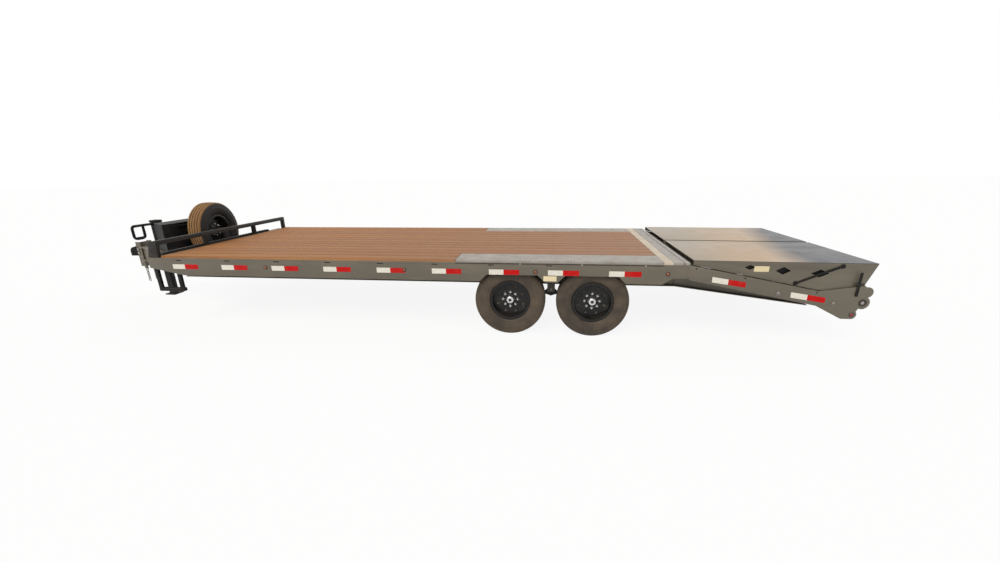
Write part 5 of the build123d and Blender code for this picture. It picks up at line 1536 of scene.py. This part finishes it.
@dataclass
class RunningGear:
    """Spring hangers and equalisers with their bolt heads, and the nuts of the spring clamps."""

    hangers: Formed = Formed("spring_hangers", 1.5)
    equalisers: Formed = Formed("equalisers", 1.5)
    cheek: float = 32 * MM
    eye_over_low: float = 34 * MM
    pivot_rise: float = 22 * MM
    hanger_half: float = 45 * MM
    link_bolts: Places = ((121 * MM, 0.0), (77 * MM, -28 * MM))
    head_radius: float = 13 * MM
    head_length: float = 9 * MM
    head_round_mm: float = 1.0
    clamp_spread: float = 45.3 * MM
    clamp_across: float = 31 * MM
    clamp_nut_rise: float = 17 * MM

    def build(self) -> None:
        """Rounds the plates and adds the bolts."""
        self.hangers.build(FRAME_PAINT, Slot.FRAME)
        self.equalisers.build(IRON, Slot.SPRING)
        self.bolts().piece("hanger_bolts", ZINC, Slot.STEEL)
        self.clamp_nuts().piece("clamp_nuts", ZINC, Slot.STEEL)

    def heads(self, spots: Iterable[Point], along: Across) -> Shape:
        """Puts rounded hexagon heads at the left side's spots and mirrors them.

        Args:
            spots: The heads' middles.
            along: The direction of the bolts.

        Returns:
            The heads.
        """
        shape = Shape()
        for spot in spots:
            shape.rod(spot, along, self.head_radius, self.head_length, Facets.HEXAGON)
        return shape.soften(self.head_round_mm).flip()

    def bolts(self) -> Shape:
        """Puts heads on both ends of every pin.

        Returns:
            The heads.
        """
        low, high = node_box("spring_hangers")
        eye, centre, beam = low.z + self.eye_over_low, (low.x + high.x) / 2, high.y - self.cheek
        reach = high.x - self.hanger_half - centre
        spots = [(centre + reach, eye), (centre - reach, eye), (centre, eye + self.pivot_rise)]
        for sign in BOTH_WAYS:
            spots += [(centre + sign * along, eye + up) for along, up in self.link_bolts]
        out = self.cheek + self.head_length / 2
        return self.heads([(x, beam + sign * out, z) for x, z in spots for sign in BOTH_WAYS], Across.Y)

    def clamp_nuts(self) -> Shape:
        """Puts nuts on the U bolts' ends under the axles.

        Returns:
            The nuts.
        """
        level = node_box("spring_clamps")[0].z + self.clamp_nut_rise
        beam = node_box("spring_hangers")[1].y - self.cheek
        axles = [node_middle(f"tyre_{corner}").x for corner in ("fl", "rl")]
        return self.heads([
            (axle + along * self.clamp_spread, beam + across * self.clamp_across, level)
            for axle in axles for along in BOTH_WAYS for across in BOTH_WAYS
        ], Across.Z)


@dataclass
class Tongue:
    """Tongue beams, coupler, jack posts and step, with the safety chains and the coupler's bolts."""

    grey: tuple[Formed, ...] = (
        Formed("tongue_beams", 3.0), Formed("jack_plates", 2.0), Formed("tongue_head", 3.0, 2),
    )
    black: tuple[Formed, ...] = (
        Formed("coupler", 9.0, 3), Formed("jack_tube", 2.5, 2), Formed("jack_leg", 4.0, 2),
        Formed("side_step", 5.0, 2),
    )
    lever: Formed = Formed("coupler_lever", 3.0, 2)
    links: int = 6
    link_bar: float = 5 * MM
    link_bend: float = 13.5 * MM
    link_straight: float = 10.5 * MM
    link_half_width: float = 18.5 * MM
    link_steps: int = 8
    bolt_shares: tuple[float, ...] = (0.4, 0.6)
    bolt_from_front: float = 25.3 * MM
    bolt_radius: float = 16 * MM
    bolt_head: float = 12 * MM
    bolt_round_mm: float = 1.2

    def build(self) -> None:
        """Builds the tongue's pieces."""
        for solid in self.grey:
            solid.build(FRAME_PAINT, Slot.FRAME)
        for solid in self.black:
            solid.build(BLACK_PAINT, Slot.BLACK)
        self.lever.build(ZINC, Slot.STEEL)
        self.chains()
        self.bolts()

    def link(self) -> Shape:
        """Bends one round-bar link, long way up, in the plane across the trailer.

        Returns:
            The link.
        """
        shape = Shape()
        mesh, straight = shape.mesh, self.link_straight
        start = Matrix.Translation((0.0, self.link_bend, -straight))
        bmesh.ops.create_circle(mesh, segments=Facets.LINK, radius=self.link_bar, matrix=start)
        ring = list(mesh.edges)
        for sign in (1, -1):
            pulled = bmesh.ops.extrude_edge_only(mesh, edges=ring)["geom"]
            ends = of_kind(pulled, BMVert)
            bmesh.ops.translate(mesh, verts=ends, vec=(0.0, 0.0, 2 * sign * straight))
            rim = [edge for edge in of_kind(pulled, BMEdge) if all(corner in ends for corner in edge.verts)]
            bent = bmesh.ops.spin(
                mesh, geom=[*ends, *rim], cent=(0.0, 0.0, sign * straight), axis=Across.X.value,
                dvec=(0.0, 0.0, 0.0), angle=math.pi, steps=self.link_steps)
            ring = of_kind(bent["geom_last"], BMEdge)
        bmesh.ops.remove_doubles(mesh, verts=mesh.verts, dist=LINK_MERGE)
        bmesh.ops.recalc_face_normals(mesh, faces=mesh.faces)
        return shape

    def chains(self) -> None:
        """Hangs the two safety chains, each link turned a quarter to the last."""
        low, high = node_box("safety_chains")
        half_length = self.link_straight + self.link_bend + self.link_bar
        first, last = high.z - half_length, low.z + half_length
        spots = []
        for y in (high.y - self.link_half_width, low.y + self.link_half_width):
            for index in range(self.links):
                z = first + (last - first) * index / (self.links - 1)
                quarter = Matrix.Rotation(math.pi / 2 * (index % 2), 4, "Z")
                spots.append(Matrix.Translation(((low.x + high.x) / 2, y, z)) @ quarter)
        chains = Shape().add(self.link(), spots)
        chains.piece("round_chains", ZINC, Slot.STEEL, replaces=("safety_chains",))

    def bolts(self) -> None:
        """Bolts the coupler into the head's channel."""
        low, high = node_box("tongue_head")
        foot = node_box("tongue_beams")[0].z
        x = high.x - self.bolt_from_front
        shape = Shape()
        for share in self.bolt_shares:
            for face in (low.y, high.y):
                y = face + math.copysign(self.bolt_head / 2, face)
                spot = (x, y, foot + (high.z - foot) * share)
                shape.rod(spot, Across.Y, self.bolt_radius, self.bolt_head, Facets.HEXAGON)
        shape.soften(self.bolt_round_mm).piece("head_bolts", ZINC, Slot.STEEL)


@dataclass
class Jack:
    """Trim of the tongue's jack: collars, leg pin with its ring, cap bolts, the crank's sleeve and grip."""

    collar_tall: float = 34 * MM
    cap_tall: float = 44 * MM
    collar_round_mm: float = 4.0
    pin_rise: float = 58 * MM
    pin_radius: float = 8 * MM
    pin_past: float = 22 * MM
    ring: Section = ((-2.0, 15.0), (-2.0, 19.0), (2.0, 19.0), (2.0, 15.0))
    ring_past: float = 18 * MM
    ring_drop: float = 14 * MM
    cap_bolt_share: float = 0.7
    cap_bolt_rise: float = 2 * MM
    cap_bolt_radius: float = 8 * MM
    cap_bolt_head: float = 6 * MM
    sleeve: float = 5 * MM
    sleeve_smooth: float = 60.0
    grip_radius: float = 21.5 * MM
    grip_valley: float = 0.9
    grip_ribs: int = 9
    grip_ends: Flat = (0.268, 0.36)
    grip_low: float = 16 * MM

    def build(self) -> None:
        """Adds the trim to the jack's tube and crank."""
        self.collars()
        self.pin()
        crank = Shape().node("jack_crank").fatten(self.sleeve)
        crank.piece("jack_crank_sleeved", BLACK_PAINT, Slot.BLACK, replaces=("jack_crank",),
                    smooth=self.sleeve_smooth)
        self.grip()

    def collars(self) -> None:
        """Puts a square collar round the tube's foot and a round cap on its top."""
        low, high = node_box("jack_tube")
        middle, half = (low + high) / 2, (high.x - low.x) / 2
        foot = (middle.x - half, middle.y - half, low.z)
        shape = Shape().box(foot, (middle.x + half, middle.y + half, low.z + self.collar_tall))
        top = (middle.x, middle.y, high.z - self.cap_tall / 2)
        shape.rod(top, Across.Z, half, self.cap_tall, Facets.JACK)
        shape.soften(self.collar_round_mm, 2).piece("jack_collars", BLACK_PAINT, Slot.BLACK)

    def pin(self) -> None:
        """Puts the leg's pin with its ring through the tube, and four bolts on the cap."""
        low, high = node_box("jack_tube")
        middle, half = (low + high) / 2, (high.x - low.x) / 2
        level = low.z + self.pin_rise
        length = 2 * (half + self.pin_past)
        shape = Shape().rod((middle.x, middle.y, level), Across.Y, self.pin_radius, length, Facets.PIN)
        hung = (middle.x, middle.y + half + self.ring_past, level - self.ring_drop)
        shape.lathe(scaled(self.ring), hung, Across.Y, Facets.RING, closed=True)
        out, top = self.cap_bolt_share * half, high.z + self.cap_bolt_rise
        for along in BOTH_WAYS:
            for across in BOTH_WAYS:
                spot = (middle.x + along * out, middle.y + across * out, top)
                shape.rod(spot, Across.Z, self.cap_bolt_radius, self.cap_bolt_head, Facets.HEXAGON)
        shape.piece("jack_pin", ZINC, Slot.STEEL)

    def grip(self) -> None:
        """Puts a ribbed grip on the crank's handle."""
        start, end = self.grip_ends
        steps = 2 * self.grip_ribs
        radii = [self.grip_radius * (1.0 if rib % 2 else self.grip_valley) for rib in range(steps + 1)]
        ribs = [(start + (end - start) * rib / steps, radius) for rib, radius in enumerate(radii)]
        crank_low = node_box("jack_crank")[0].z
        place = (node_middle("jack_crank").x, 0.0, crank_low + self.grip_low)
        shape = Shape().lathe([(start, 0.0), *ribs, (end, 0.0)], place, Across.Y, Facets.LAMP)
        shape.piece("crank_grip", GRIP, Slot.RUBBER)


@dataclass
class SideStep:
    """Ribbed tread on the side step."""

    ribs: int = 9
    tread_rise: float = 40 * MM
    from_end: float = 55 * MM
    rib_half: float = 6 * MM
    rib_inset: float = 8 * MM
    rib_tall: float = 3 * MM
    rib_round_mm: float = 1.0

    def build(self) -> None:
        """Lays the ribs across the step's tread."""
        low, high = node_box("side_step")
        top = low.z + self.tread_rise
        run = high.x - low.x - 2 * self.from_end
        shape = Shape()
        for index in range(self.ribs):
            x = low.x + self.from_end + run * index / (self.ribs - 1)
            corner = (x + self.rib_half, high.y - self.rib_inset, top + self.rib_tall)
            shape.box((x - self.rib_half, low.y + self.rib_inset, top), corner)
        shape.soften(self.rib_round_mm).piece("step_ribs", GRIP, Slot.RUBBER)


@dataclass
class Toolbox:
    """Tongue toolbox: rounded shell and lid, two draw latches and a locking handle."""

    shell: Formed = Formed("toolbox", 1.5)
    lid: Formed = Formed("toolbox_lid", 1.8)
    lid_gap: float = 8 * MM
    latch_y: float = 250 * MM
    latch_half: float = 22 * MM
    latch_stand: float = 9 * MM
    latch_drop: Flat = (0.012, 0.092)
    latch_pin: float = 6 * MM
    latch_pin_share: float = 1.6
    latch_round_mm: float = 2.0
    rose_radius: float = 32 * MM
    rose_stand: float = 8 * MM
    handle_drop: float = 70 * MM
    handle_half: float = 45 * MM
    handle_half_tall: float = 8 * MM
    handle_stand: float = 18 * MM
    handle_round_mm: float = 2.5

    def build(self) -> None:
        """Builds the box and its fittings."""
        self.shell.build(BLACK_PAINT, Slot.BLACK)
        self.lid.build(BLACK_PAINT, Slot.BLACK, Body.LID)
        front = node_box("toolbox")[1].x
        rim = node_box("toolbox_lid")[0].z - self.lid_gap
        self.latches(front, rim).piece("box_latches", ZINC, Slot.STEEL)
        self.handle(front, rim).piece("box_handle", BLACK_PAINT, Slot.BLACK)

    def latches(self, front: float, rim: float) -> Shape:
        """Builds the two draw latches.

        Args:
            front: The box's front face.
            rim: The height that the fittings hang from.

        Returns:
            The latches.
        """
        shape = Shape()
        top, bottom = (rim - drop for drop in self.latch_drop)
        face, half = front + self.latch_stand, self.latch_half
        for y in (-self.latch_y, self.latch_y):
            shape.box((front, y - half, bottom), (face, y + half, top))
            spot = (face, y, (bottom + top) / 2)
            shape.rod(spot, Across.Y, self.latch_pin, self.latch_pin_share * half, Facets.STEM)
        return shape.soften(self.latch_round_mm, 2)

    def handle(self, front: float, rim: float) -> Shape:
        """Builds the locking handle on its round rose.

        Args:
            front: The box's front face.
            rim: The height that the fittings hang from.

        Returns:
            The handle.
        """
        level, tall = rim - self.handle_drop, self.handle_half_tall
        rose = (front + self.rose_stand / 2, 0.0, level)
        shape = Shape().rod(rose, Across.X, self.rose_radius, self.rose_stand, Facets.HANDLE)
        low = (front + self.rose_stand, -self.handle_half, level - tall)
        shape.box(low, (front + self.handle_stand, self.handle_half, level + tall))
        return shape.soften(self.handle_round_mm, 2)


@dataclass
class Spare:
    """Spare wheel on its post, with three nuts ahead and the plate's eight stud nuts behind."""

    rim: Formed = Formed("spare_rim", 1.5)
    bracket: Formed = Formed("spare_bracket", 3.0, 2)
    form: TyreForm = TyreForm()
    nuts: int = 3
    nut_ahead: float = 20 * MM
    studs: int = 8
    stud_behind: float = 20 * MM
    nut_circle: float = 82.55 * MM
    nut_radius: float = 15 * MM
    nut_length: float = 20 * MM
    nut_round_mm: float = 1.2

    def build(self) -> None:
        """Builds the spare wheel's pieces."""
        middle = node_middle("spare_tyre")
        tyre = self.form.shape(middle, Across.X)
        tyre.piece("spare_treaded", SPARE, Slot.RUBBER, replaces=("spare_tyre",))
        self.rim.build(RIM_PAINT, Slot.RIM)
        self.bracket.build(RAIL_PAINT, Slot.FRAME)
        shape = Shape()
        for count, along in ((self.nuts, self.nut_ahead), (self.studs, -self.stud_behind)):
            spot = middle + Vector((along, 0.0, self.nut_circle))
            nut = Shape().rod(spot, Across.X, self.nut_radius, self.nut_length, Facets.HEXAGON)
            shape.add(nut.soften(self.nut_round_mm), round_axis(middle, Across.X, count))
        shape.piece("spare_nuts", CHROME, Slot.STEEL)


@dataclass
class Lamps:
    """Domed lenses in rubber bezels: amber on the rails, red at the rear."""

    marker_shares: tuple[float, ...] = (0.7563, 0.488, 0.2531, 0.0336)
    marker_drop: float = 118 * MM
    dome: Section = ((0.0, 0.0), (0.0, 17.0), (4.0, 17.0), (7.0, 14.5), (9.0, 9.5), (10.0, 0.0))
    bezel: Section = ((0.0, 16.0), (0.0, 23.0), (2.5, 23.0), (4.5, 20.5), (5.0, 17.0), (3.0, 16.0))
    foot_lobe: Flat = (0.072, -0.126)
    tail_from_edge: tuple[float, ...] = (0.2555, 0.4555)
    tail_dome: Section = ((0.0, 0.0), (0.0, 27.0), (7.0, 27.0), (10.5, 23.0), (12.5, 13.0), (13.0, 0.0))
    tail_bezel: Section = ((0.0, 26.0), (0.0, 36.0), (4.0, 36.0), (7.0, 32.0), (8.0, 27.5), (5.0, 26.0))
    tail_pull: float = 53 * MM
    middle_band: float = 0.5 * MM

    def build(self) -> None:
        """Builds lenses and bezels of both kinds."""
        low, high = node_box("side_rail_left")
        level = node_box("deck_boards")[1].z - self.marker_drop
        spots = [(low.x + share * (high.x - low.x), high.y, level) for share in self.marker_shares]
        pivot = node_middle("hinge_shaft")
        ahead, up = self.foot_lobe
        rear_spot = (pivot.x + ahead, high.y, pivot.z + up)
        amber, red, rubber = Shape(), Shape(), Shape()
        for spot in spots:
            amber.lathe(scaled(self.dome), spot, Across.Y, Facets.LAMP)
        for spot in (*spots, rear_spot):
            rubber.lathe(scaled(self.bezel), spot, Across.Y, Facets.LAMP, closed=True)
        red.lathe(scaled(self.dome), rear_spot, Across.Y, Facets.LAMP)
        bar_low, bar_middle = node_box("rear_light_bar")[0], node_middle("rear_light_bar")
        for from_edge in self.tail_from_edge:
            place = (bar_low.x, high.y - from_edge, bar_middle.z)
            red.add(self.oval(self.tail_dome, place, False))
            rubber.add(self.oval(self.tail_bezel, place, True))
        amber.flip().piece("amber_domes", AMBER, Slot.AMBER, replaces=("marker_lamps",))
        red.flip().piece("red_domes", RED, Slot.RED, replaces=("tail_lamps",))
        rubber.flip().piece("lamp_bezels", GRIP, Slot.RUBBER)

    def oval(self, section: Section, place: Point, ring: bool) -> Shape:
        """Builds an oval lamp part, which is a round one pulled apart at its middle.

        Args:
            section: Its section, which faces the rear.
            place: Its middle on the light bar.
            ring: Whether it is a ring.

        Returns:
            The part.
        """
        part = Shape().lathe(scaled(section, -1.0), place, Across.X, Facets.COLLAR, closed=ring)
        for sign in BOTH_WAYS:
            half = [v for v in part.mesh.verts if sign * (v.co.y - place[1]) > self.middle_band]
            bmesh.ops.translate(part.mesh, verts=half, vec=(0.0, sign * self.tail_pull, 0.0))
        return part


@dataclass
class Studio:
    """Camera at the photograph's place, pale floor and soft light."""

    place: Point = (-1.6201, 5.8118, 1.8065)
    yaw: float = -0.133529
    pitch: float = 0.336196
    roll: float = -0.013791
    lens: float = 15.582
    sensor: float = 36.0
    shift: Flat = (0.00453, 0.03621)
    floor_half: float = 60.0
    floor_colour: Colour = (0.93, 0.93, 0.93)
    floor_glow: float = 0.9
    ambient: float = 0.42
    key: float = 2.1
    key_way: Point = (-0.3, -0.8, -0.72)
    key_colour: Colour = (1.0, 0.95, 0.88)
    fill: float = 0.55
    fill_way: Point = (0.55, 0.6, -0.7)
    fill_colour: Colour = (0.92, 0.96, 1.0)
    sun_angle: float = math.radians(38.0)

    def build(self) -> None:
        """Sets up the whole studio."""
        scene = bpy.context.scene
        scene.view_settings.view_transform = "Standard"
        self.camera(scene)
        self.floor(scene)
        self.world(scene)
        self.sun("key_light", self.key_way, self.key, self.key_colour)
        self.sun("fill_light", self.fill_way, self.fill, self.fill_colour)

    def camera(self, scene: bpy.types.Scene) -> None:
        """Puts the camera where the photograph was taken from.

        Args:
            scene: The scene that takes the camera.
        """
        turn = Matrix.Rotation(self.roll, 3, "Z") @ Matrix.Rotation(self.pitch, 3, "X")
        turn = turn @ Matrix.Rotation(self.yaw, 3, "Y").transposed()
        # Rows: what the photograph's right, down and ahead are in the trailer's frame before the turn
        level = Matrix(((-1.0, 0.0, 0.0), (0.0, 0.0, -1.0), (0.0, -1.0, 0.0)))
        right, down, ahead = turn @ level
        data = bpy.data.cameras.new("photo_camera")
        data.sensor_width = self.sensor
        data.lens = self.lens
        data.shift_x, data.shift_y = self.shift
        camera = bpy.data.objects.new("photo_camera", data)
        columns = Matrix((right, -down, -ahead)).transposed()
        camera.matrix_world = Matrix.Translation(self.place) @ columns.to_4x4()
        scene.collection.objects.link(camera)
        scene.camera = camera

    def seen(self, tree: bpy.types.NodeTree) -> Socket:
        """Finds the rays that show the background: camera, glossy and transmission rays.

        Args:
            tree: The tree that takes the nodes.

        Returns:
            A socket that gives 1 for those rays.
        """
        path = tree.nodes.new("ShaderNodeLightPath")
        total = path.outputs["Is Camera Ray"]
        for name in ("Is Glossy Ray", "Is Transmission Ray"):
            inputs = {0: total, 1: path.outputs[name]}
            total = add_node(tree, "ShaderNodeMath", inputs, operation="MAXIMUM").outputs[0]
        return total

    def floor(self, scene: bpy.types.Scene) -> None:
        """Lays the pale floor, which shows white and keeps a soft shadow.

        Args:
            scene: The scene that takes the floor.
        """
        mesh = bmesh.new()
        bmesh.ops.create_grid(mesh, x_segments=2, y_segments=2, size=self.floor_half)
        data = bpy.data.meshes.new("floor")
        mesh.to_mesh(data)
        mesh.free()
        floor = bpy.data.objects.new("floor", data)
        scene.collection.objects.link(floor)
        material = bpy.data.materials.new("pale_floor")
        material.use_nodes = True
        tree = material.node_tree
        tree.nodes.clear()
        matt = add_node(tree, "ShaderNodeBsdfDiffuse", {"Color": self.floor_colour}).outputs[0]
        glow = add_node(tree, "ShaderNodeEmission", {"Color": WHITE}).outputs[0]
        inputs = {0: self.seen(tree), 1: self.floor_glow}
        share = add_node(tree, "ShaderNodeMath", inputs, operation="MULTIPLY").outputs[0]
        both = add_node(tree, "ShaderNodeMixShader", {0: share, 1: matt, 2: glow}).outputs[0]
        add_node(tree, "ShaderNodeOutputMaterial", {"Surface": both})
        data.materials.append(material)

    def world(self, scene: bpy.types.Scene) -> None:
        """Makes the world white where it shows, and a plain soft light elsewhere.

        Args:
            scene: The scene that takes the world.
        """
        world = bpy.data.worlds.new("studio")
        world.use_nodes = True
        scene.world = world
        tree = world.node_tree
        back = tree.nodes["Background"]
        strength = add_node(tree, "ShaderNodeMapRange", {0: self.seen(tree), 3: self.ambient, 4: 1.0})
        feed(tree, back.inputs["Color"], WHITE)
        feed(tree, back.inputs["Strength"], strength.outputs[0])

    def sun(self, name: str, way: Point, strength: float, colour: Colour) -> None:
        """Hangs a wide soft light.

        Args:
            name: The light's name.
            way: The way its light goes.
            strength: Its power.
            colour: Its colour.
        """
        data = bpy.data.lights.new(name, "SUN")
        data.energy = strength
        data.color = colour
        data.angle = self.sun_angle
        light = bpy.data.objects.new(name, data)
        light.rotation_mode = "QUATERNION"
        light.rotation_quaternion = Vector(way).to_track_quat("-Z", "Y")
        bpy.context.scene.collection.objects.link(light)


def main() -> None:
    """Builds the studio and every sub-assembly in order."""
    logging.basicConfig(level=logging.INFO, format="%(message)s")
    Studio().build()
    dress_solids()
    floor_and_frame = (Deck(), Frame(), ReflectiveTape(), Dovetail())
    ramps = [Ramp(side) for side in Side]
    wheels = [Wheel(corner) for corner in CORNERS]
    front = (Tongue(), Jack(), SideStep(), Toolbox(), Spare())
    for sub_assembly in (*floor_and_frame, *ramps, *wheels, RunningGear(), *front, Lamps()):
        sub_assembly.build()


if __name__ == "__main__":
    main()
